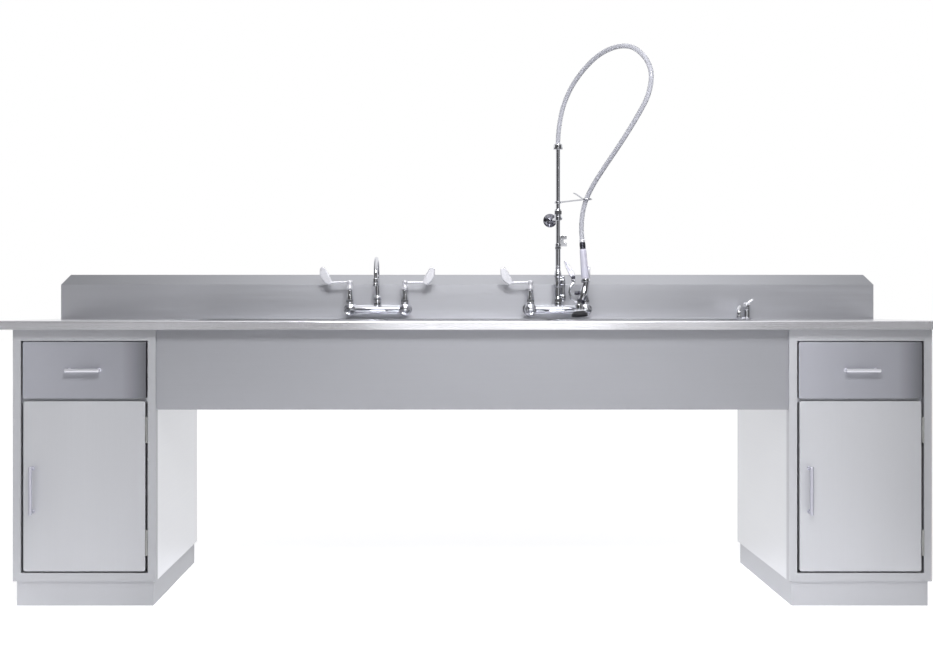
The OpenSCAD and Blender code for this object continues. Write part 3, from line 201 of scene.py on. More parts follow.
def grained(name, rgb, along, roughness, contrast=0.025, across=None, smudge=0.012, bump=0.012,
            painted_shade=None, metallic=1.0):
    """Satin steel: belt-ground in one direction, so that fine streaks run along it and the
    lights smear across it. The real grain is 0.1 mm wide, and is drawn wider so that it shows.
    A list of pairs, metres from a cabinet's middle and how much brightness is left, multiplies in painted
    shade that darkens each cabinet towards its right."""
    finish = bpy.context.scene.sink_finish
    material, tree, shader, where = surface(name)
    size = [1 / (across or finish.grain_width)] * 3
    size["XYZ".index(along)] = 1 / finish.grain_length
    streaks = noise(tree, mapped(tree, where, size), 1.0, 4.0, 0.65)
    wide = [4.0] * 3
    wide["XYZ".index(along)] = 0.9
    clouds = noise(tree, mapped(tree, where, wide), 1.0, 2.0)
    grain = shades(tree, streaks, scaled(rgb, 1 - contrast), scaled(rgb, 1 + contrast), 0.3, 0.7)
    haze = shades(tree, clouds, scaled((1, 1, 1), 1 - 2 * smudge), (1, 1, 1, 1), 0.35, 0.65)
    tint = times(tree, grain, haze)
    # painted shade: darker towards the right of each cabinet
    if painted_shade:
        x = add(tree, "SeparateXYZ", {0: where}).outputs["X"]
        local = calc(tree, "MULTIPLY_ADD", calc(tree, "SIGN", x), -CABINET_X / 1000, x)
        tint = times(tree, tint, greys(tree, local, painted_shade))
    give(tree, shader, {"Base Color": tint, "Metallic": metallic, "Normal": bumped(tree, streaks, bump),
                        "Roughness": span(tree, streaks, roughness - 0.05, roughness + 0.06, 0.3, 0.7)})
    return material


def polished(name, rgb, roughness=0.06, spots=0.03):
    """Chrome over brass: a mirror with faint water haze, bright where it sees the lights."""
    material, tree, shader, where = surface(name)
    haze = noise(tree, where, 60.0, 3.0)
    give(tree, shader, {"Base Color": shades(tree, haze, scaled(rgb, 0.95), rgb, 0.35, 0.65),
                        "Metallic": 1.0,
                        "Roughness": span(tree, haze, roughness, roughness + spots, 0.3, 0.7)})
    return material


def moulded(name, rgb, roughness, grit, bump, metallic=0.0, cloudy=0.08):
    """Moulded or cast stuff: even colour broken by a fine grit of the given size in metres."""
    material, tree, shader, where = surface(name)
    speck, cloud = noise(tree, where, 1 / grit, 3.0), noise(tree, where, 14.0, 2.0)
    give(tree, shader, {
        "Base Color": shades(tree, cloud, scaled(rgb, 1 - cloudy), scaled(rgb, 1 + cloudy / 2), 0.35, 0.65),
        "Metallic": metallic, "Normal": bumped(tree, speck, bump),
        "Roughness": span(tree, speck, roughness - 0.06, roughness + 0.08, 0.3, 0.7)})
    if not metallic:
        shader.inputs["IOR"].default_value = PLASTIC_IOR
    return material


def woven_hose(name, rgb):
    """Clear-coated PVC hose over a woven layer: a fine diamond pattern round the tube. The real
    threads are 0.5 mm apart, and are drawn about 2 mm apart so that they show."""
    material, tree, shader, _ = surface(name)
    flat = add(tree, "UVMap", uv_map="UVMap").outputs["UV"]
    sides = [add(tree, "TexWave", {"Vector": mapped(tree, flat, (1, 1, 1), turn), "Scale": 95.0,
                                   "Distortion": 0.0}, wave_type="BANDS").outputs["Fac"]
             for turn in (0.6, -0.6)]
    weave = calc(tree, "MAXIMUM", *sides)
    give(tree, shader, {"Base Color": shades(tree, weave, scaled(rgb, 0.86), scaled(rgb, 1.06), 0.35, 0.9),
                        "Roughness": 0.35, "IOR": PVC_IOR, "Coat Weight": 0.4, "Coat Roughness": 0.12,
                        "Normal": bumped(tree, weave, 0.35, 0.0003)})
    return material


MATERIALS = {}


def make_materials():
    f = bpy.context.scene.sink_finish
    tone = lambda value: tuple(value) + (1.0,)
    MATERIALS.update({
        # stainless sheet, satin ground along the counter
        "satin": grained("satin_stainless_splash", tone(f.satin), "X", 0.38, metallic=0.88),
        # the counter's sheet is ground finer and shines at its rounded edge
        "edge": grained("fine_ground_stainless_counter", tone(f.edge), "X", 0.18, contrast=0.015,
                        metallic=0.78),
        "apron": grained("satin_stainless_apron", tone(f.apron), "X", 0.38, metallic=0.7),
        # the same sheet with its grain upright, with painted shade that darkens it towards the right of
        # each cabinet
        "upright": grained("satin_stainless_upright", tone(f.upright), "Z", 0.48, metallic=0.75,
                           painted_shade=[(-0.2, 1.0), (0.0, 0.93), (0.2, 0.83)]),
        # face frames and kick bases with painted shade, darker towards the right of each cabinet
        "frames": grained("satin_stainless_frames", tone(f.frames), "Z", 0.48, metallic=0.7,
                          painted_shade=[(-0.23, 1.0), (0.23, 0.78)]),
        # drawer fronts are cut across, so that their grain lies level; they are painted darker than the
        # doors as painted shade, and painted shade darkens them towards the right of each cabinet, steeply
        # at its right end
        "level": grained("satin_stainless_level", tone(f.level), "X", 0.48, metallic=0.7,
                         painted_shade=[(-0.2, 1.0), (0.0, 0.82), (0.12, 0.73), (0.165, 0.5), (0.2, 0.3)]),
        # pressed bowls keep a coarser grind along their depth
        "bowl": grained("ground_stainless_bowl", tone(f.satin), "Y", 0.34, contrast=0.05, across=0.003),
        # cold-rolled sheet as it leaves the mill
        "mill": grained("mill_finish_stainless", tone(f.mill), "Y", 0.34, contrast=0.008, across=0.003,
                        smudge=0.006, bump=0.004, metallic=0.85),
        "chrome": polished("polished_chrome", tone(f.chrome)),
        # plated pull, painted lighter than the door's pull: a painted highlight where the level bar faces
        # the light above
        "pull": moulded("plated_pull_painted_light", tone(f.drawer_bar), 0.34, 0.001, 0.02, metallic=0.8,
                        cloudy=0.02),
        # the same plated pull on the doors, painted darker to the door's tone: painted shade where the
        # upright bar faces away from the light above; the squeeze lever shares it
        "quiet": moulded("plated_pull_painted_shade", tone(f.door_bar), 0.42, 0.001, 0.02, metallic=0.8,
                         cloudy=0.02),
        # cast and pearl-plated, softer and whiter than the polished bodies
        "blade": moulded("pearl_plated_blade", tone(f.blade), 0.3, 0.0006, 0.01, metallic=0.5,
                         cloudy=0.01),
        # drawn spring wire, its shine spread by the draw marks
        "wire": moulded("bright_spring_wire", tone(f.wire), 0.36, 0.002, 0.02, metallic=0.65,
                        cloudy=0.03),
        # chrome of the wall flange, painted greyer than the fittings round it as a painted dark reflection
        "painted_dark_chrome": polished("chrome_with_painted_shade", tone(f.painted_dark_chrome), 0.1, 0.04),
        # bright zinc over pressed steel, even and slightly matt
        "zinc": moulded("zinc_plated_steel", tone(f.zinc), 0.38, 0.002, 0.1, metallic=1.0),
        # nickel brushed to a dark, soft shine
        "dark": moulded("dark_satin_nickel", tone(f.dark), 0.32, 0.003, 0.1, metallic=1.0),
        "hose": woven_hose("woven_pvc_hose", tone(f.hose)),
        # glass-filled nylon grip, slightly glossy
        "grip": moulded("moulded_nylon_grip", tone(f.grip), 0.34, 0.0015, 0.12),
        # moulded rubber, dull and nearly black
        "rubber": moulded("moulded_rubber", tone(f.rubber), 0.6, 0.0012, 0.2),
    })


SIDES = (("left", -1), ("right", 1))


def both(*names):
    """Each node's name for the left cabinet and for the right one."""
    return [side + "_" + name for name in names for side, _ in SIDES]


NODE_FINISH = {
    "satin": ["backsplash"],
    "edge": ["deck"],
    "apron": ["front_apron"],
    "upright": both("door"),
    "frames": ["face_frames", "kick_bases"],
    "level": both("drawer_front"),
    "bowl": both("bowl") + ["middle_bowl", "drain_strainers"],
    "mill": both("cabinet_shell", "drawer_box") + ["shelves"],
    "chrome": both("drawer_pull", "door_pull") + [
        "drain_bodies", "drain_tailpieces", "mixer_body", "rinse_body", "supply_flanges", "valve_bonnets",
        "mixer_hot_handle", "mixer_cold_handle", "rinse_hot_handle", "rinse_cold_handle", "gooseneck_spout",
        "riser_adapter", "riser_pipe", "wall_bracket", "finger_hook", "spring_collar", "spray_body",
        "spray_lever", "tap_column", "tap_spout", "tap_lever"],
    "wire": ["hose_spring"],
    "zinc": both("drawer_rails", "door_hinge_leaves") + [
        "deck_channels", "shelf_clips", "drawer_runners", "door_hinge_frame_leaves", "door_hinge_pins",
        "drain_locknuts", "supply_shanks"],
    "dark": ["hose_ferrule"],
    "hose": ["hose"],
    "grip": ["spray_grip"],
    "rubber": ["door_catches", "spray_face"],
}


# Making a piece

def object_from(name, bm):
    """A new object in the scene with the bmesh for its mesh."""
    mesh = bpy.data.meshes.new(name)
    bm.to_mesh(mesh)
    bm.free()
    obj = bpy.data.objects.new(name, mesh)
    bpy.context.scene.collection.objects.link(obj)
    return obj


def mesh_piece(name, bm, material, body=ROOT, angle=35, stands_for=(), scale=0.001):
    """Turns a bmesh drawn in millimetres into a finished piece in metres that rides on a body. Edges
    sharper than angle, in degrees, stay crisp."""
    bmesh.ops.scale(bm, vec=(scale,) * 3, verts=bm.verts)
    bmesh.ops.recalc_face_normals(bm, faces=bm.faces)
    obj = object_from(name, bm)
    mesh = obj.data
    mesh.materials.append(MATERIALS[material])
    mesh.shade_smooth()
    mesh.set_sharp_from_angle(angle=math.radians(angle))
    obj.modifiers.new("flat_faces_stay_flat", "WEIGHTED_NORMAL").keep_sharp = True
    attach(obj, body)
    if stands_for:
        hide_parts(*stands_for)
    return obj


def fitting(name, bm, node, material="chrome", body=ROOT, angle=35):
    """A metal fitting that stands for one node."""
    mesh_piece(name, bm, material, body, angle, [node])


def frame_at(point, direction, side):
    """A matrix whose Z runs along direction and whose X is as near to side as it can be."""
    z = Vector(direction).normalized()
    x = Vector(side) - z * z.dot(Vector(side))
    x.normalize()
    y = z.cross(x)
    return Matrix.Translation(Vector(point)) @ Matrix((x, y, z)).transposed().to_4x4()


def swept(bm, points, radii, sides, side=(0, 0, 1), uv=False):
    """A round tube along points. radii is one radius or one for each point."""
    if not isinstance(radii, (list, tuple)):
        radii = [radii] * len(points)
    points = [Vector(p) for p in points]
    layer = bm.loops.layers.uv.verify() if uv else None
    rings, reach, runs = [], 0.0, []
    side = Vector(side)
    for i, point in enumerate(points):
        ahead = points[min(i + 1, len(points) - 1)] - points[max(i - 1, 0)]
        place = frame_at(point, ahead, side)
        side = place.to_3x3() @ Vector((1, 0, 0))
        if i:
            reach += (point - points[i - 1]).length
        runs.append(reach)
        made = bmesh.ops.create_circle(bm, cap_ends=False, segments=sides, radius=radii[i], matrix=place)
        rings.append(made["verts"])
    for i in range(len(rings) - 1):
        for j in range(sides):
            k = (j + 1) % sides
            face = bm.faces.new((rings[i][j], rings[i][k], rings[i + 1][k], rings[i + 1][j]))
            face.smooth = True
            if uv:
                round_trip = 2 * math.pi * radii[i]
                for loop, (u, v) in zip(face.loops, ((j, i), (j + 1, i), (j + 1, i + 1), (j, i + 1))):
                    loop[layer].uv = (u / sides * round_trip, runs[v])
    bm.faces.new(rings[0])
    bm.faces.new(rings[-1])


# Camera and stage

# The photograph's frame: its width and focal length in pixels, and how far its middle is from level
FRAME_WIDTH, FOCAL, OFF_X, OFF_Y = 933, 1221, 29.1, -18.1
SENSOR = 36.0
EYE = (-0.112, -4.25, 0.957)


class SINK_OT_camera(Operator):
    """Adds the camera at the photograph's viewing angle"""
    bl_idname = "sink.camera"
    bl_label = "Camera"

    def execute(self, context):
        data = bpy.data.cameras.new("camera")
        data.sensor_width = SENSOR
        data.lens = FOCAL / FRAME_WIDTH * SENSOR
        data.shift_x = OFF_X / FRAME_WIDTH
        data.shift_y = OFF_Y / FRAME_WIDTH
        data.clip_end = 100
        obj = bpy.data.objects.new("camera", data)
        obj.location = EYE
        obj.rotation_euler = (math.radians(90), 0, 0)
        context.scene.collection.objects.link(obj)
        context.scene.camera = obj
        context.scene.view_settings.view_transform = "Standard"
        return {"FINISHED"}


def seen(tree):
    """1 for the rays that show the background: camera, glossy and transmission rays."""
    path = add(tree, "LightPath").outputs
    first = calc(tree, "MAXIMUM", path["Is Camera Ray"], path["Is Glossy Ray"])
    return calc(tree, "MAXIMUM", first, path["Is Transmission Ray"])


def area_light(name, place, target, width, height, power):
    data = bpy.data.lights.new(name, "AREA")
    data.shape = "RECTANGLE"
    data.size, data.size_y, data.energy = width, height, power
    obj = bpy.data.objects.new(name, data)
    obj.matrix_world = Matrix.Translation(place) @ (
        Vector(target) - Vector(place)).to_track_quat("-Z", "Y").to_matrix().to_4x4()
    bpy.context.scene.collection.objects.link(obj)


def studio_card(name, corners, levels):
    """A plain card that only metal sees. levels are pairs of X in metres and brightness."""
    bm = bmesh.new()
    bm.faces.new([bm.verts.new(c) for c in corners])
    obj = object_from(name, bm)
    material, tree, shader, where = surface(name)
    tree.nodes.remove(shader)
    peak = max(level for x, level in levels)
    x = add(tree, "SeparateXYZ", {0: where}).outputs["X"]
    strip = greys(tree, x, [(spot, level / peak) for spot, level in levels], "EASE")
    glow = add(tree, "Emission", {"Color": strip, "Strength": peak})
    give(tree, tree.nodes["Material Output"], {"Surface": glow.outputs[0]})
    obj.data.materials.append(material)
    for ray in ("camera", "diffuse", "shadow", "transmission"):
        setattr(obj, "visible_" + ray, False)


def upright(low_x, high_x, y, low_z, high_z):
    """The corners of a card that stands across the view."""
    return [(low_x, y, low_z), (high_x, y, low_z), (high_x, y, high_z), (low_x, y, high_z)]


def lying(low_x, high_x, low_y, high_y, z):
    """The corners of a card that lies flat."""
    return [(low_x, low_y, z), (high_x, low_y, z), (high_x, high_y, z), (low_x, high_y, z)]


def flag(x):
    """The corners of a dark card at the side."""
    return [(x, -4.8, 0.85), (x, 0.2, 0.85), (x, 0.2, 3.4), (x, -4.8, 3.4)]


# Each card's name, corners, and brightness along X. The four behind the camera and the ceiling give the
# splash and the chrome their bright middle between dark sides, the strip is what the counter's edge
# mirrors, and the sheets on the floor make the cabinets' outer sides read as metal.
CARDS = [
    ("low_card", upright(-8, 8, -5.4, 0.3, 0.7),
     [(-8, 0.6), (-3.4, 0.6), (-2.1, 1.0), (-1.4, 0.4), (-0.6, 0.05), (0.4, 0.02), (1.2, 0.2), (1.9, 0.9),
      (2.6, 0.25), (8, 0.5)]),
    ("front_card", upright(-8, 8, -5.4, 0.7, 0.86),
     [(-8, 0.4), (-3.4, 0.12), (-1.6, 0.1), (-0.6, 0.08), (0.4, 0.05), (1.4, 0.03), (2.6, 0.08), (8, 0.3)]),
    ("middle_card", upright(-8, 8, -5.4, 0.86, 2.4),
     [(-8, 0.04), (-3.4, 0.02), (-1.6, 0.03), (-0.3, 0.4), (0.6, 0.7), (1.2, 0.95), (1.7, 0.95),
      (2.2, 0.08), (8, 0.1)]),
    ("left_flag", flag(-3.6), [(-8, 0.12), (8, 0.12)]),
    ("right_flag", flag(3.9), [(-8, 0.12), (8, 0.12)]),
    ("upper_card", upright(-7, 7, -5.2, 1.5, 3.4),
     [(-7, 0.04), (-2.5, 0.04), (0.0, 0.1), (0.85, 0.1), (1.1, 0.9), (1.9, 0.9), (2.3, 0.12), (7, 0.12)]),
    ("ceiling_card", lying(-7, 7, -5.2, 2, 3.4),
     [(-7, 0.2), (-2.2, 0.32), (-1.3, 0.62), (-0.6, 1.0), (1.3, 1.05), (2.3, 0.45), (7, 0.3)]),
    ("edge_strip", upright(-0.46, 0.86, -3.2, 0.8, 0.88), [(-0.46, 3.8), (0.86, 3.8)]),
    ("left_sheet", lying(-9, -1.7, -3, 0.6, 0.004), [(-9, 0.6), (-1.7, 0.6)]),
    ("right_sheet", lying(1.7, 9, -3, 0.6, 0.004), [(1.7, 0.6), (9, 0.6)]),
    ("back_sheet", lying(-9, 9, 0.6, 9, 0.004),
     [(-9, 0.6), (-1.4, 0.6), (-0.8, 1.0), (0.8, 1.0), (1.4, 0.6), (9, 0.6)]),
]
WORLD_LIGHT = 0.55
FLOOR_SIZE, FLOOR_GLOW = 30, 0.62


class SINK_OT_stage(Operator):
    """Adds the pale floor, the white background, the soft lights and the cards round them"""
    bl_idname = "sink.stage"
    bl_label = "Stage"

    def execute(self, context):
        world = bpy.data.worlds.new("studio")
        context.scene.world = world
        world.use_nodes = True
        tree = world.node_tree
        tree.nodes.clear()
        shown = add(tree, "Background", {"Color": (1, 1, 1, 1), "Strength": 1.0})
        light = add(tree, "Background", {"Color": (1, 1, 1, 1), "Strength": WORLD_LIGHT})
        mixed = add(tree, "MixShader", {0: seen(tree), 1: light.outputs[0], 2: shown.outputs[0]})
        add(tree, "OutputWorld", {"Surface": mixed.outputs[0]})

        bm = bmesh.new()
        bmesh.ops.create_grid(bm, x_segments=1, y_segments=1, size=FLOOR_SIZE)
        floor = object_from("floor", bm)
        material, tree, shader, _ = surface("pale_floor")
        tree.nodes.remove(shader)
        tone = tuple(context.scene.sink_finish.floor) + (1.0,)
        matte = add(tree, "BsdfDiffuse", {"Color": scaled(tone, 0.85)})
        level = calc(tree, "MULTIPLY", seen(tree), FLOOR_GLOW)
        glow = add(tree, "Emission", {"Color": (1, 1, 1, 1), "Strength": level})
        mixed = add(tree, "AddShader", {0: matte.outputs[0], 1: glow.outputs[0]})
        give(tree, tree.nodes["Material Output"], {"Surface": mixed.outputs[0]})
        floor.data.materials.append(material)

        area_light("key_light", (0.1, -3.2, 2.9), (0.1, 0, 0.9), 1.7, 0.8, 105)
        for card in CARDS:
            studio_card(*card)
        return {"FINISHED"}


# Hose and spring

# Middle line of the hose as distance from the riser and height, in millimetres, in the plane of its loop
HOSE_ROUTE = [
    (0, 1545), (0, 1568), (2, 1595), (8, 1630), (21, 1674), (42, 1716), (74, 1757), (114, 1792),
    (162, 1823), (216, 1848), (276, 1862), (340, 1863), (400, 1848), (450, 1813), (480, 1774),
    (490, 1738), (485, 1702), (469, 1665), (434, 1622), (374, 1560), (310, 1500), (248, 1444),
    (194, 1391), (159, 1345), (142, 1308), (134, 1272), (132, 1242), (133, 1222), (135.5, 1202)]
LOOP_TURN = math.radians(-56)
RISER = Vector((0.334, 0.266, 0))


def loop_point(r, z, off=0.0):
    """A point of the loop's plane in the frame; off is to the plane's side."""
    return RISER + Matrix.Rotation(LOOP_TURN, 3, "Z") @ Vector((r, off, 0)) + Vector((0, 0, z))


def smooth_route(points, steps):
    """A smooth curve through the given points, as so many steps between each two."""
    out = []
    for i in range(len(points) - 1):
        a, b = points[max(i - 1, 0)], points[i]
        c, d = points[i + 1], points[min(i + 2, len(points) - 1)]
        for k in range(steps):
            t = k / steps
            out.append(tuple(
                ((2 * b[n]) + (c[n] - a[n]) * t + (2 * a[n] - 5 * b[n] + 4 * c[n] - d[n]) * t * t
                 + (3 * b[n] - a[n] - 3 * c[n] + d[n]) * t ** 3) / 2 for n in range(len(b))))
    out.append(points[-1])
    return out


class Route:
    """The hose's middle line, read by its length."""

    def __init__(self):
        self.flat = [(r / 1000, z / 1000) for r, z in smooth_route(HOSE_ROUTE, 6)]
        self.run = [0.0]
        for a, b in zip(self.flat, self.flat[1:]):
            self.run.append(self.run[-1] + math.dist(a, b))
        self.total = self.run[-1]

    def at(self, s):
        s = min(max(s, 0.0), self.total)
        i = max(k for k in range(len(self.run)) if self.run[k] <= s + 1e-12)
        i = min(i, len(self.run) - 2)
        t = (s - self.run[i]) / (self.run[i + 1] - self.run[i])
        a, b = self.flat[i], self.flat[i + 1]
        return Vector((a[0] + (b[0] - a[0]) * t, a[1] + (b[1] - a[1]) * t))

    def outward(self, s):
        """Which way is away from the loop's middle."""
        reach = 0.0085
        h = (self.at(s + reach) - self.at(s - reach)).normalized()
        return Vector((-h.y, h.x))


class SINK_OT_hose(Operator):
    """Makes the hose with its woven layer, hung as in the photograph"""
    bl_idname = "sink.hose"
    bl_label = "Hose"

    def execute(self, context):
        settings = context.scene.sink_hose
        route = Route()
        path = [loop_point(r, z) for r, z in route.flat]
        bm = bmesh.new()
        swept(bm, path, settings.hose_radius, 16, side=(0.83, 0.56, 0), uv=True)
        hose = mesh_piece("woven_hose", bm, "hose", angle=60, stands_for=["hose"],
                          scale=1.0)
        return {"FINISHED"}


class SINK_OT_spring(Operator):
    """Winds the spring as one unbroken wire round the hose"""
    bl_idname = "sink.spring"
    bl_label = "Hose spring"

    def execute(self, context):
        s = context.scene.sink_hose
        route = Route()
        start = 0.016 + 2 * s.wire_radius
        steps = 18
        count = s.curls * steps
        points, shift = [], 0.004
        for i in range(count + 1):
            u = i / count
            run = start + u * s.spring_length
            turn = 2 * math.pi * s.curls * u * (1 + 0.25 * (1 - u))
            out = route.outward(run)
            mid = route.at(run) + out * shift * min(1.0, u * 6)
            r = mid + out * s.spring_radius * math.cos(turn)
            points.append(loop_point(r.x, r.y, s.spring_radius * math.sin(turn)))
        tip = points[-1] + (points[-1] - points[-2]).normalized() * 2 * s.wire_radius
        points = [points[0] - Vector((0, 0, 2 * s.wire_radius))] + points + [tip]
        bm = bmesh.new()
        swept(bm, points, s.wire_radius, 8)
        mesh_piece("wound_spring", bm, "wire", angle=80, stands_for=["hose_spring"],
                   scale=1.0)
        return {"FINISHED"}


# Shapes, drawn in millimetres

def moved(x, y, z):
    return Matrix.Translation((x, y, z))


def about(axis, degrees):
    return Matrix.Rotation(math.radians(degrees), 4, axis)


def put(bm, part, place):
    """Moves a finished part into a piece, to its place if it has one."""
    bmesh.ops.remove_doubles(part, verts=part.verts, dist=1e-4)
    if place is not None:
        bmesh.ops.transform(part, matrix=place, verts=part.verts)
    mesh = bpy.data.meshes.new("part")
    part.to_mesh(mesh)
    part.free()
    bm.from_mesh(mesh)
    bpy.data.meshes.remove(mesh)


def arc(radius, start, stop, steps):
    """Points on a circle round 0, from one angle to another in degrees, as pairs."""
    spots = [math.radians(start + (stop - start) * i / steps) for i in range(steps + 1)]
    return [(radius * math.cos(a), radius * math.sin(a)) for a in spots]


def eased(profile, ease):
    """A turned profile with its corners rounded by ease."""
    points = [Vector((r, z)) for r, z in profile]
    out = [points[0]]
    for before, here, after in zip(points, points[1:], points[2:]):
        a, b = before - here, after - here
        if a.length < 1e-6 or b.length < 1e-6:
            continue
        e = min(ease, a.length * 0.45, b.length * 0.45)
        p, q = here + a.normalized() * e, here + b.normalized() * e
        out += [p, (p + q + 2 * here) / 4, q]
    return [(p.x, p.y) for p in out + [points[-1]]]


def turned(bm, profile, place, ease, steps=40, ring=False):
    """A turned form: radius and height pairs spun round Z. A ring's profile closes on itself, and any
    other is led straight to the axis at both ends."""
    part = bmesh.new()
    if ring:
        profile = profile + profile[:1]
    else:
        profile = [(0, profile[0][1])] + profile + [(0, profile[-1][1])] * (profile[-1][0] > 0)
    outline = eased(profile, ease)
    verts = [part.verts.new((r, 0, z)) for r, z in outline]
    edges = [part.edges.new(pair) for pair in zip(verts, verts[1:])]
    bmesh.ops.spin(part, geom=verts + edges, cent=(0, 0, 0), axis=(0, 0, 1), angle=2 * math.pi,
                   steps=steps, use_merge=True)
    put(bm, part, place)


def bevelled(part, edges, offset, segments):
    bmesh.ops.bevel(part, geom=edges, offset=offset, segments=segments, profile=0.5, affect="EDGES",
                    material=-1)


def sharp(part, angle):
    """The edges whose faces meet at more than angle, in radians."""
    return [e for e in part.edges if e.is_manifold and e.calc_face_angle() > angle]


def drawn_out(part, faces, depth):
    """Gives flat faces their depth along Y."""
    made = bmesh.ops.extrude_face_region(part, geom=faces)
    bmesh.ops.translate(part, vec=(0, depth, 0),
                        verts=[v for v in made["geom"] if isinstance(v, bmesh.types.BMVert)])
    bmesh.ops.recalc_face_normals(part, faces=part.faces)


def nut(bm, radius, low, high, place, sides=6):
    """A hexagonal or other flat-sided nut with its edges broken."""
    part = bmesh.new()
    bmesh.ops.create_cone(part, cap_ends=True, segments=sides, radius1=radius, radius2=radius,
                          depth=high - low, matrix=moved(0, 0, (low + high) / 2))
    bevelled(part, part.edges[:], 0.7, 2)
    put(bm, part, place)


def tube(bm, points, radii, place, sides, flat=1.0, side=(0, 1, 0)):
    """A tube along points; flat squeezes it across Y."""
    part = bmesh.new()
    swept(part, points, radii, sides, side)
    if flat != 1.0:
        bmesh.ops.scale(part, vec=(1, flat, 1), verts=part.verts)
    put(bm, part, place)


def slab(bm, low, high, ease, segments, place=None, corner=0.0):
    """A block with broken edges; corner rounds its upright edges seen from the front."""
    low, high = Vector(low), Vector(high)
    part = bmesh.new()
    bmesh.ops.create_cube(part, size=1, matrix=Matrix.Translation((low + high) / 2)
                          @ Matrix.Diagonal(tuple(high - low) + (1,)))
    if corner:
        deep = [e for e in part.edges if abs(e.verts[0].co.y - e.verts[1].co.y) > 1e-6]
        bevelled(part, deep, corner, 6)
    bevelled(part, sharp(part, 0.6), ease, segments)
    put(bm, part, place)


def plate(bm, outline, low, high, place, ease, segments):
    """A flat shape drawn in X and Z, from low to high across Y, with its rims rounded."""
    part = bmesh.new()
    face = part.faces.new([part.verts.new((x, low, z)) for x, z in outline])
    drawn_out(part, [face], high - low)
    bevelled(part, sharp(part, 1.0), ease, segments)
    put(bm, part, place)


def bent_strip(bm, line, thickness, width, place, ease):
    """A strip of sheet bent along a line of X and Z, and as wide as width across Y."""
    part = bmesh.new()
    line = [Vector((x, 0, z)) for x, z in line]
    front, back = [], []
    for i, point in enumerate(line):
        ahead = (line[min(i + 1, len(line) - 1)] - line[max(i - 1, 0)]).normalized()
        off = Vector((-ahead.z, 0, ahead.x)) * thickness / 2
        front.append(part.verts.new(point + off - Vector((0, width / 2, 0))))
        back.append(part.verts.new(point - off - Vector((0, width / 2, 0))))
    faces = [part.faces.new((front[i], front[i + 1], back[i + 1], back[i])) for i in range(len(line) - 1)]
    drawn_out(part, faces, width)
    bevelled(part, sharp(part, 0.8), ease, 2)
    put(bm, part, place)


def screw(bm, place, radius, height):
    """A pan-head screw with a cross in it, its head along Z."""
    turned(bm, [(radius, 0), (radius, height * 0.45), (radius * 0.75, height * 0.9),
                (radius * 0.3, height)], place, 0.4, 20)
    for turn in (0, 90):
        slab(bm, (-radius * 0.55, -radius * 0.1, height * 0.8),
             (radius * 0.55, radius * 0.1, height + 0.12), 0.05, 1, place @ about("Z", turn + 20))


def at(x, y, z, turn=0.0, tilt=None):
    """A place in the frame, turned about Z; tilt lays its Z to the front or to the right."""
    place = moved(x, y, z) @ about("Z", turn)
    return place @ about({"front": "X", "right": "Y"}[tilt], 90) if tilt else place


# Cabinets

class SINK_OT_fronts(Operator):
    """Makes the doors and drawer fronts with rounded corners and broken edges"""
    bl_idname = "sink.fronts"
    bl_label = "Doors and drawer fronts"

    def execute(self, context):
        for side, sign in SIDES:
            x = sign * CABINET_X
            bm = bmesh.new()
            slab(bm, (x - 195.2, -343, 112), (x + 195.2, -324, 656.9), 1.6, 4, corner=7)
            mesh_piece(side + "_door_skin", bm, "upright", side + "_door_body",
                       stands_for=[side + "_door"])
            bm = bmesh.new()
            slab(bm, (x - 197.2, -343, 665.5), (x + 197.2, -324.2, 847), 1.6, 4, corner=5)
            mesh_piece(side + "_drawer_skin", bm, "level", side + "_drawer",
                       stands_for=[side + "_drawer_front"])
        return {"FINISHED"}


def pull(bm, long, place):
    """A round bar with domed ends on two flared posts; the bar lies along X, the face at Y 0."""
    half, out, r = long / 2, 28.0, 6.0
    turned(bm, [(0, -half), (r - 1.4, -half), (r, -half + 1.4), (r, half - 1.4), (r - 1.4, half),
                (0, half)], place @ at(0, -out, 0, tilt="right"), 0.7, 28)
    for s in (-1, 1):
        turned(bm, [(7, 0), (6.8, 1), (5.2, 2.6), (4.4, 5), (4.4, out)],
               place @ at(s * (half - 8), 0, 0, tilt="front"), 0.8, 28)


class SINK_OT_pulls(Operator):
    """Makes the four pulls of the drawers and doors"""
    bl_idname = "sink.pulls"
    bl_label = "Pulls"

    def execute(self, context):
        for side, sign in SIDES:
            x = sign * CABINET_X
            bm = bmesh.new()
            pull(bm, 110, at(x, -343, 756.25))
            fitting(side + "_drawer_bar", bm, side + "_drawer_pull", "pull", side + "_drawer")
            bm = bmesh.new()
            pull(bm, 154, at(x - 164.2, -343, 373) @ about("Y", 90))
            fitting(side + "_door_bar", bm, side + "_door_pull", "quiet", side + "_door_body")
        return {"FINISHED"}


# Faucets: where the valves' line stands, half the distance between a body's inlets, each body's middle,
# and the splash's face

FAUCET_Y, VALVE_Z, HALF_PITCH = 266.0, 950.0, 101.6
MIXER_X, RINSE_X, SPLASH_Y = -334.0, 334.0, 331.0


def valve(bm, x):
    """A valve's body, its inlet collar and the nut that joins it to the wall, at its inlet's X."""
    here, front = at(x, FAUCET_Y, VALVE_Z), at(x, FAUCET_Y, VALVE_Z, tilt="front")
    turned(bm, [(8.6, -25), (10.4, -22), (12.2, -12), (14, -4), (14, 12), (15, 14), (15, 24.8)], here, 0.8)
    turned(bm, [(12.7, -57), (12.7, -20), (19.5, -15), (22.6, -7), (23, 2), (22.4, 10), (21.4, 16),
                (21.4, 20.5), (20, 22.6), (17.6, 23.6), (16.2, 22.4), (14.6, 20.8), (11.4, 21.2),
                (10.6, 23.8), (7.6, 25), (0, 25.2)], front, 0.9, 48)
    nut(bm, 18.6, -57, -45, front)


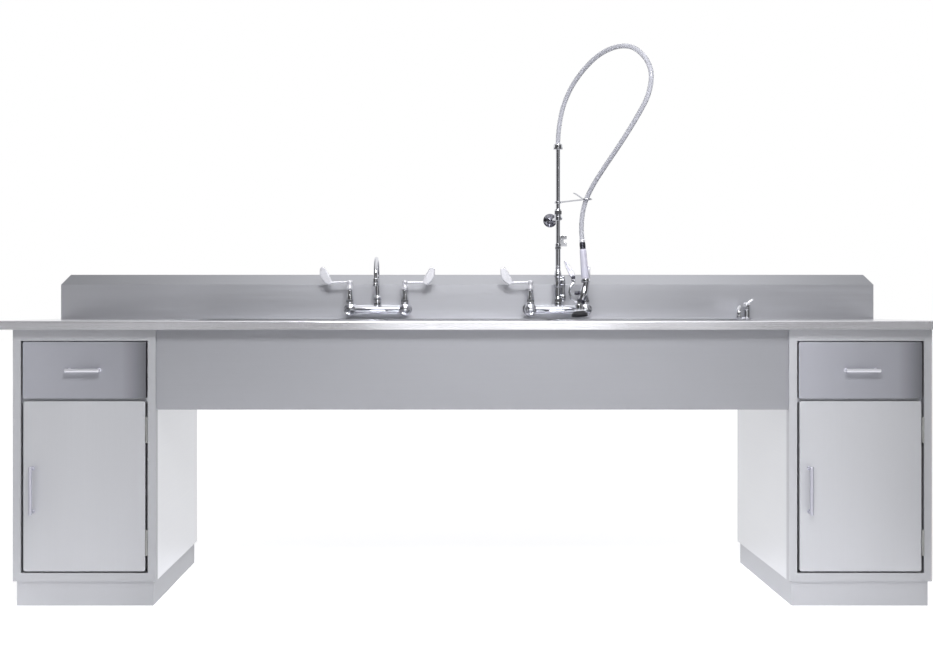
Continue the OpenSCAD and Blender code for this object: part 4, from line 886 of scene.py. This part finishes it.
def faucet_body(bm, x):
    """The cross bar, the outlet's socket in its middle and both valves."""
    turned(bm, [(14.6, -HALF_PITCH), (15.8, -62), (16.8, -22), (16.8, 22), (15.8, 62), (14.6, HALF_PITCH)],
           at(x, FAUCET_Y, VALVE_Z, tilt="right"), 6.0, 48)
    turned(bm, [(6.1, 8.5), (13.5, 8.5), (15, 16), (15, 24.8), (6.1, 24.8)],
           at(x, FAUCET_Y, VALVE_Z), 0.8, ring=True)
    for s in (-1, 1):
        valve(bm, x + s * HALF_PITCH)


class SINK_OT_faucet_bodies(Operator):
    """Makes both faucet bodies, their wall flanges and valve bonnets"""
    bl_idname = "sink.faucet_bodies"
    bl_label = "Faucet bodies"

    def execute(self, context):
        for name, x in (("mixer", MIXER_X), ("rinse", RINSE_X)):
            bm = bmesh.new()
            faucet_body(bm, x)
            fitting(name + "_casting", bm, name + "_body")
        flanges, bonnets = bmesh.new(), bmesh.new()
        for x in (MIXER_X, RINSE_X):
            for s in (-1, 1):
                here = at(x + s * HALF_PITCH, FAUCET_Y, VALVE_Z)
                turned(flanges, [(10.9, 0), (25, 0), (25, 2.2), (23.4, 4.2), (18.9, 7.9), (10.9, 7.9)],
                       here @ moved(0, SPLASH_Y - FAUCET_Y, 0) @ about("X", 90), 0.7, 48, ring=True)
                nut(bonnets, 15, 25, 34, here)
                turned(bonnets, [(13.2, 33), (13.4, 36), (12.8, 44), (10.6, 56), (9.2, 66), (9.2, 71),
                                 (7.8, 73), (5, 73), (5, 99.4)], here, 1.0)
        fitting("wall_flanges", flanges, "supply_flanges")
        fitting("bonnet_set", bonnets, "valve_bonnets")
        return {"FINISHED"}


# The blade's outline: how far its outer and inner edges stand off the line between its ends
BLADE_LOW, BLADE_TIP = Vector((66.7, 95.5)), Vector((100.0, 156.5))
BLADE_OUT, BLADE_IN, BLADE_BLUNT = 25.5, 6.5, 13.0


def blade_outline():
    steps = 14
    run = BLADE_TIP - BLADE_LOW
    half = run.length / 2
    along = run.normalized()
    out = Vector((along.y, -along.x))

    def edge(t, reach):
        full = 1 - (half * t / (half + BLADE_BLUNT)) ** 2
        return BLADE_LOW + along * half * (1 + t) + out * reach * full

    spots = [2 * i / steps - 1 for i in range(steps + 1)]
    outer = [edge(t, BLADE_OUT) for t in spots]
    inner = [edge(t, -BLADE_IN) for t in reversed(spots)]
    tip = [outer[-1].lerp(inner[0], part) + along for part in (0.38, 0.62)]
    return [(p.x, p.y) for p in outer + tip + inner]


def wrist_blade(bm, place):
    """A hub with a round arm that ends in a broad leaf, thick in its middle and thin at its rims."""
    turned(bm, [(5.1, 73.6), (10.2, 73.6), (11, 75), (11, 81), (9.4, 85), (8.8, 92), (9.6, 96), (11, 98),
                (11, 103.4), (8.6, 106.6), (5.1, 107.2), (5.1, 104), (5.1, 100)], place, 0.8, ring=True)
    turned(bm, [(6, 104), (6, 107), (4, 107.5)], place, 0.4)
    tube(bm, [(8, 0, 100.5), (26, 0, 100.6), (46, 0, 100.2), (60, 0, 99.6), (70, 0, 100.2), (75, 0, 102.5)],
         [4.4, 4.1, 3.9, 4.0, 4.2, 3.4], place, 20)
    plate(bm, blade_outline(), -4.5, 4.5, place, 3.6, 5)


# Each handle's node, faucet, side and turn about its valve; the right one of the rinse unit stands open
HANDLES = [("mixer_hot_handle", MIXER_X, -1, 180), ("mixer_cold_handle", MIXER_X, 1, 0),
           ("rinse_hot_handle", RINSE_X, -1, 180), ("rinse_cold_handle", RINSE_X, 1, -90)]


class SINK_OT_handles(Operator):
    """Makes the four wrist-blade handles"""
    bl_idname = "sink.handles"
    bl_label = "Wrist blades"

    def execute(self, context):
        for node, x, s, turn in HANDLES:
            bm = bmesh.new()
            wrist_blade(bm, at(x + s * HALF_PITCH, FAUCET_Y, VALVE_Z, turn))
            fitting(node.replace("handle", "blade"), bm, node, "blade", node, angle=50)
        return {"FINISHED"}


class SINK_OT_gooseneck(Operator):
    """Makes the swing spout with its nut and aerator"""
    bl_idname = "sink.gooseneck"
    bl_label = "Gooseneck spout"

    def execute(self, context):
        place = at(MIXER_X, FAUCET_Y, VALVE_Z)
        bm = bmesh.new()
        turned(bm, [(6, 17), (6, 25.6), (15, 25.6), (15, 30), (13.6, 32), (13.6, 41), (15, 43), (15, 45),
                    (12.5, 47.5), (9.6, 50.5), (9.6, 52.5), (8, 53.5)], place, 0.7)
        for k in range(12):
            slab(bm, (13.2, -0.9, 33), (14.5, 0.9, 40.5), 0.3, 1, place @ about("Z", 30 * k))
        bend = 63.5
        over = [(0, c - bend, 120.5 + s) for c, s in arc(bend, 0, 180, 28)]
        tube(bm, [(0, 0, z) for z in (50, 65, 85, 105, 118)] + over + [(0, -127, 116), (0, -127, 112)],
             8.0, place, 28, side=(1, 0, 0))
        tip = place @ moved(0, -127, 0)
        turned(bm, [(7, 84), (8.4, 83), (10.6, 83.2), (11, 85), (11, 92), (10, 93.4), (10, 95), (11, 96.4),
                    (11, 109), (9.6, 112), (8, 113), (7, 113)], tip, 0.6, ring=True)
        turned(bm, [(7.1, 86), (7.1, 88)], tip, 0.3)
        fitting("gooseneck_tube", bm, "gooseneck_spout", body="gooseneck_spout")
        return {"FINISHED"}


# Rinse unit

class SINK_OT_riser(Operator):
    """Makes the adapter, riser, wall bracket, hook and collar of the rinse unit"""
    bl_idname = "sink.riser"
    bl_label = "Riser and bracket"

    def execute(self, context):
        place = at(RINSE_X, FAUCET_Y, 0)
        # adapter on the body, with its bypass pipe beside it
        bm = bmesh.new()
        nut(bm, 16, 975.2, 988, place)
        turned(bm, [(13.5, 975), (13.5, 990), (12, 996), (11.6, 1030), (12.4, 1036), (12.4, 1044),
                    (11.6, 1050), (12, 1068), (14, 1072), (14, 1082), (12.6, 1084), (12.6, 1089),
                    (10.5, 1093), (10.5, 1097)], place, 0.9)
        side = place @ moved(18, 0, 0)
        turned(bm, [(7.4, 979), (9, 982), (9.6, 990), (9.6, 1000), (8.2, 1004), (8, 1040), (9.8, 1044),
                    (9.8, 1058), (8.4, 1062), (8, 1070), (5, 1075), (0, 1076)], side, 0.9, 32)
        for z in (990, 1066):
            turned(bm, [(7.6, 0), (7, 6), (7, 18)], at(RINSE_X, FAUCET_Y, z, tilt="right"), 0.6, 28)
        fitting("adapter_casting", bm, "riser_adapter")

        # riser with its couplings and the small clip
        bm = bmesh.new()
        turned(bm, [(9, 1097), (9, 1099), (10.5, 1101), (10.5, 1106), (9.4, 1107), (9.4, 1109),
                    (10.5, 1110), (10.5, 1172), (11.6, 1173), (11.6, 1180), (8.5, 1182), (8.5, 1293),
                    (13, 1294), (13, 1300), (13, 1314), (12.4, 1319), (8.5, 1320), (8.5, 1545)],
               place, 0.6, 36)
        nut(bm, 12.5, 1172, 1181, place)
        turned(bm, [(8.6, 1182.4), (11.5, 1182.4), (11.5, 1192.4), (8.6, 1192.4)], place, 0.4, ring=True)
        plate(bm, [(9, 1182.5), (32.4, 1182.5), (32.4, 1195.6), (20.6, 1197.4), (20.6, 1207.6),
                   (32.4, 1209.2), (32.4, 1222.3), (9, 1222.3)], -1.5, 1.5, place, 0.5, 2)
        turned(bm, [(3.4, 0), (3.4, 1.2), (2.6, 2)],
               place @ moved(15, -1.4, 1208) @ about("X", 90), 0.4, 20)
        nut(bm, 15, 1300.5, 1313.5, place)
        fitting("riser_tube", bm, "riser_pipe")

        # ring round the riser and the arm to the wall
        bm = bmesh.new()
        turned(bm, [(8.55, 1278), (12.4, 1278), (13, 1279), (13, 1293), (12.4, 1294), (8.55, 1294)],
               place, 0.5, ring=True)
        tube(bm, [(RINSE_X, 277, 1286), (RINSE_X - 10, 326, 1286), (RINSE_X - 19, 375, 1286)],
             6.0, None, 24)
        nut(bm, 6, -1, 2.4, at(RINSE_X + 12.6, FAUCET_Y - 4, 1286, tilt="right"))
        fitting("bracket_arm", bm, "wall_bracket")

        # round flange on the wall, with three screws, in chrome painted darker as a painted reflection
        bm = bmesh.new()
        flange = at(RINSE_X - 19, 381, 1286, tilt="front")
        turned(bm, [(26, 0), (26, 2.4), (24.8, 4.2), (21.6, 6), (14, 8.6), (8.8, 12)], flange, 1.0, 56)
        for turn in (30, 150, 270):
            screw(bm, flange @ about("Z", turn) @ moved(17.5, 0, 7.2), 2.8, 1.6)
        mesh_piece("bracket_flange", bm, "painted_dark_chrome")

        # wire hook that holds the hose in its loop
        bm = bmesh.new()
        loop = at(RINSE_X, FAUCET_Y, 1345, -56)
        turned(bm, [(8.55, -4), (12.4, -4), (13, -3), (13, 3), (12.4, 4), (8.55, 4)], loop, 0.5, ring=True)
        tube(bm, [(11, 0, 0), (40, 0, 0), (90, 0, 0), (130, 0, 0), (144, 0, 0)], 3.0, loop, 16)
        tube(bm, [(-11, 0, 0), (-15, 0, 0), (-19, 0, 0)], [3, 3, 2.4], loop, 16)
        tube(bm, [(161 + c, s, 0) for c, s in arc(17, 0, 360, 36)], 3.0, loop, 14, side=(0, 0, 1))
        tube(bm, [(144, 0, 0), (132, 0, 7), (116, 0, 16), (100, 0, 24), (89, 0, 27.5)], [3, 3, 3, 2.8, 2.2],
             loop, 14)
        fitting("hook_wire", bm, "finger_hook", angle=60)

        # collar that holds the spring's foot
        bm = bmesh.new()
        turned(bm, [(8.9, 1540), (16, 1540), (17, 1541.5), (17, 1556), (15.6, 1557.5), (15.6, 1559.5),
                    (14, 1561), (8.9, 1561)], place, 0.5, ring=True)
        nut(bm, 18.6, 1542, 1547, place)
        fitting("collar_nut", bm, "spring_collar")
        return {"FINISHED"}


# Spray valve: its own frame has the hose's end at 0, Z up the grip, X towards the lever

LEAN = math.atan2(2.5, 20)  # the hose's slope where it ends
SPRAY = (at(RINSE_X, FAUCET_Y, 0, -56) @ moved(135.5, 0, 1202)
         @ Matrix.Rotation(-LEAN, 4, "Y") @ about("Z", 236))


class SINK_OT_spray(Operator):
    """Makes the spray valve: ferrule, grip, body with guard, rubber face and squeeze lever"""
    bl_idname = "sink.spray"
    bl_label = "Spray valve"

    def execute(self, context):
        # sleeve crimped on the hose's end
        bm = bmesh.new()
        turned(bm, [(10.4, -11), (10.6, -9), (10.6, -2), (9.8, -0.6), (8.6, 0)], SPRAY, 0.5, 32)
        mesh_piece("ferrule_sleeve", bm, "blade")

        # knurled nut that joins the hose to the grip
        bm = bmesh.new()
        turned(bm, [(10.2, -35), (10.6, -33.5), (10.6, -30), (9.8, -29), (9.8, -13), (9.2, -11.2)],
               SPRAY, 0.5, 32)
        for k in range(16):
            slab(bm, (9.4, -0.9, -28), (10.7, 0.9, -14), 0.35, 2, SPRAY @ about("Z", 22.5 * k))
        mesh_piece("ferrule_nut", bm, "dark", stands_for=["hose_ferrule"])

        # grip, swollen towards the lever
        bm = bmesh.new()
        turned(bm, [(12.6, -143), (14, -141), (14, -136), (13.2, -134.5), (14, -133), (14, -120),
                    (13.2, -96), (12.3, -70), (12, -52), (12, -42), (11, -36), (9.8, -35)], SPRAY, 1.4, 44)
        mesh_piece("moulded_grip", bm, "grip", stands_for=["spray_grip"])

        # neck, guard ring, the lever's seat and the bell over the face
        bm = bmesh.new()
        turned(bm, [(14.6, -157), (16, -155), (16, -146), (14.8, -143.2)], SPRAY, 0.8, 40)
        neck_route = [(0, 0, -150), (0.6, 0, -160), (3.2, 0, -172), (7, 0, -186), (11, 0, -199),
                      (16, 0, -212), (22.5, 0, -224), (28, 0, -234), (30.6, 0, -243), (31, 0, -250)]
        tube(bm, neck_route, [13.4, 13, 12.8, 14.4, 15.8, 14.6, 12.2, 11.4, 12.4, 13.4], SPRAY, 32)
        turned(bm, [(13.4, -251), (13.6, -249), (13.6, -236), (12.4, -233.5)],
               SPRAY @ moved(31, 0, 0), 0.8, 36)
        guard = [(21 + c, 0, s - 189) for c, s in arc(40, -80, 60, 24)]
        tube(bm, guard + [(42.5, 0, -151), (43, 0, -147)], [4.6] * 25 + [4.6, 4.2], SPRAY, 18)
        slab(bm, (35.8, -8, -150), (50.2, 8, -144.2), 0.8, 3, SPRAY)
        face = SPRAY @ moved(31, 0, -251)
        turned(bm, [(12.8, 0), (16.4, -4), (20.4, -8.6), (19, -9)], face, 0.6, 48)
        fitting("spray_casting", bm, "spray_body", angle=45)

        # ears and screws of the lever's pin, the valve's stem and the neck's nut
        bm = bmesh.new()
        for s in (-1, 1):
            ear = SPRAY @ moved(43, s * 7.7, -135) @ about("X", 90 * s)
            turned(bm, [(7, 0), (7, 3.3)], ear, 0.5, 28)
            screw(bm, SPRAY @ moved(43, s * 7.6, -135) @ about("X", -90 * s), 3.2, 1.4)
            slab(bm, (37, min(s * 4.4, s * 7.7), -146), (49, max(s * 4.4, s * 7.7), -136), 0.5, 2, SPRAY)
        stem = SPRAY @ moved(22, 0, -193) @ about("Y", 90)
        turned(bm, [(8, 0), (8, 6), (6.4, 8), (6.4, 19), (5, 21.5), (0, 22)], stem, 0.8, 28)
        neck = SPRAY @ moved(22.5, 0, -224) @ about("Y", -27)
        nut(bm, 14.6, -5.5, 5.5, neck, 8)
        mesh_piece("spray_pivot_and_stem", bm, "dark", angle=45)

        # rubber rim with three rings of nozzles
        bm = bmesh.new()
        turned(bm, [(20.8, -9.2), (23, -12), (26, -16), (29, -17), (29, -24.5), (27.6, -26.3), (24, -26.3),
                    (22, -24), (21.6, -21.5)], face, 1.0, 48)
        for ring in (1, 2, 3):
            for c, s in arc(6 * ring, 0, 360, 6 * ring)[:-1]:
                turned(bm, [(1.5, 0), (0.9, 1.5)], face @ moved(c, s, -21.5) @ about("X", 180), 0.2, 10)
        mesh_piece("rubber_spray_face", bm, "rubber", stands_for=["spray_face"])

        # lever: its eye, its web and the broad finger plate
        bm = bmesh.new()
        pivot = SPRAY @ moved(43, 0, -135)
        turned(bm, [(2.1, -4), (6, -4), (6, 4), (2.1, 4)], pivot @ about("X", 90), 0.5, 28, ring=True)
        plate(bm, [(-7, 2), (8, 0.5), (14, 12), (20, 30), (25, 46.5), (28.2, 60.3), (24.2, 61.6), (14, 49),
                   (4, 32), (-4, 15)], -4.6, 4.6, pivot, 1.2, 3)
        bent_strip(bm, [(11, 25), (14, 33.5), (18, 43.5), (22, 53), (25, 59.6), (26.4, 61)],
                   3.2, 15.4, pivot, 0.9)
        fitting("squeeze_lever", bm, "spray_lever", "quiet", "spray_lever", angle=45)
        return {"FINISHED"}


# Deck tap

TAP = at(1032, 266, 0)


class SINK_OT_tap(Operator):
    """Makes the deck tap's column, spout and lever"""
    bl_idname = "sink.tap"
    bl_label = "Deck tap"

    def execute(self, context):
        # column through the deck, with the nut under it
        bm = bmesh.new()
        turned(bm, [(8, 869.4), (8, 914.5), (20, 914.5), (20, 916), (17, 918.4), (13.6, 919.4), (13, 921),
                    (13, 946.6), (12, 947.3), (11, 947.4), (11, 966.4), (4.05, 966.4), (4.05, 945)],
               TAP, 0.5)
        nut(bm, 16, 907.8, 912.7, TAP)
        fitting("tap_pillar", bm, "tap_column")

        # spout on its collar, bent down at its end
        bm = bmesh.new()
        spout = TAP @ about("Z", -22)
        turned(bm, [(11.1, 948), (14.5, 948), (14.5, 950), (13.6, 951), (13.6, 963), (14.5, 964),
                    (14.5, 965.8), (11.1, 965.8)], spout, 0.5, ring=True)
        z, bend = 956.9, 22.5
        over = [(0, bend - 200 - s, z - bend + c) for c, s in arc(bend, 0, 90, 12)]
        tube(bm, [(0, -12, z), (0, -60, z), (0, -120, z)] + over + [(0, -200, 930), (0, -200, 926)],
             7.5, spout, 24, side=(1, 0, 0))
        turned(bm, [(5.5, 920.4), (7.5, 920.4), (8.4, 922), (8.4, 928), (7.5, 929.5), (5.5, 929.5)],
               spout @ moved(0, -200, 0), 0.4, 32, ring=True)
        fitting("tap_swing_spout", bm, "tap_spout", body="tap_spout")

        # cap and lever
        bm = bmesh.new()
        turned(bm, [(4, 949.6), (4, 966.9), (12, 966.9), (12, 971), (10.6, 973.4), (6.6, 974.9)],
               TAP, 0.6, 32)
        tube(bm, [(0, 0, 970.9), (5, 0, 973.8), (13, 0, 979), (18, 0, 982.8), (22, 0, 985.6), (24, 0, 987)],
             [3.6, 4.0, 4.6, 5.0, 4.4, 1.5], TAP, 20, flat=0.9)
        fitting("tap_handle", bm, "tap_lever", "blade", "tap_lever", angle=50)
        return {"FINISHED"}


class SINK_OT_finishes(Operator):
    """Makes every material and gives each solid of the frame its own"""
    bl_idname = "sink.finishes"
    bl_label = "Finishes"

    def execute(self, context):
        make_materials()
        for finish, nodes in NODE_FINISH.items():
            for name in nodes:
                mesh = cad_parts[name].data
                mesh.materials.clear()
                mesh.materials.append(MATERIALS[finish])
        missing = set(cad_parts) - {n for nodes in NODE_FINISH.values() for n in nodes}
        if missing:
            raise RuntimeError("no finish for " + ", ".join(sorted(missing)))
        return {"FINISHED"}


OPERATORS = [SINK_OT_camera, SINK_OT_finishes, SINK_OT_hose, SINK_OT_spring, SINK_OT_fronts, SINK_OT_pulls,
             SINK_OT_faucet_bodies, SINK_OT_handles, SINK_OT_gooseneck, SINK_OT_riser, SINK_OT_spray,
             SINK_OT_tap, SINK_OT_stage]


class SINK_PT_panel(Panel):
    """Lists the pieces and their settings"""
    bl_label = "Sink station"
    bl_idname = "SINK_PT_panel"
    bl_space_type = "VIEW_3D"
    bl_region_type = "UI"
    bl_category = "Sink station"

    def draw(self, context):
        for group in (context.scene.sink_finish, context.scene.sink_hose):
            box = self.layout.box()
            for key in group.bl_rna.properties.keys():
                if key not in ("rna_type", "name"):
                    box.prop(group, key)
        for operator in OPERATORS:
            self.layout.operator(operator.bl_idname)


CLASSES = [FinishSettings, HoseSettings] + OPERATORS + [SINK_PT_panel]


def register():
    for cls in CLASSES:
        bpy.utils.register_class(cls)
    bpy.types.Scene.sink_finish = PointerProperty(type=FinishSettings)
    bpy.types.Scene.sink_hose = PointerProperty(type=HoseSettings)


def unregister():
    del bpy.types.Scene.sink_hose
    del bpy.types.Scene.sink_finish
    for cls in reversed(CLASSES):
        bpy.utils.unregister_class(cls)


def main():
    register()
    for operator in OPERATORS:
        group, name = operator.bl_idname.split(".")
        getattr(getattr(bpy.ops, group), name)()


if __name__ == "__main__":
    main()
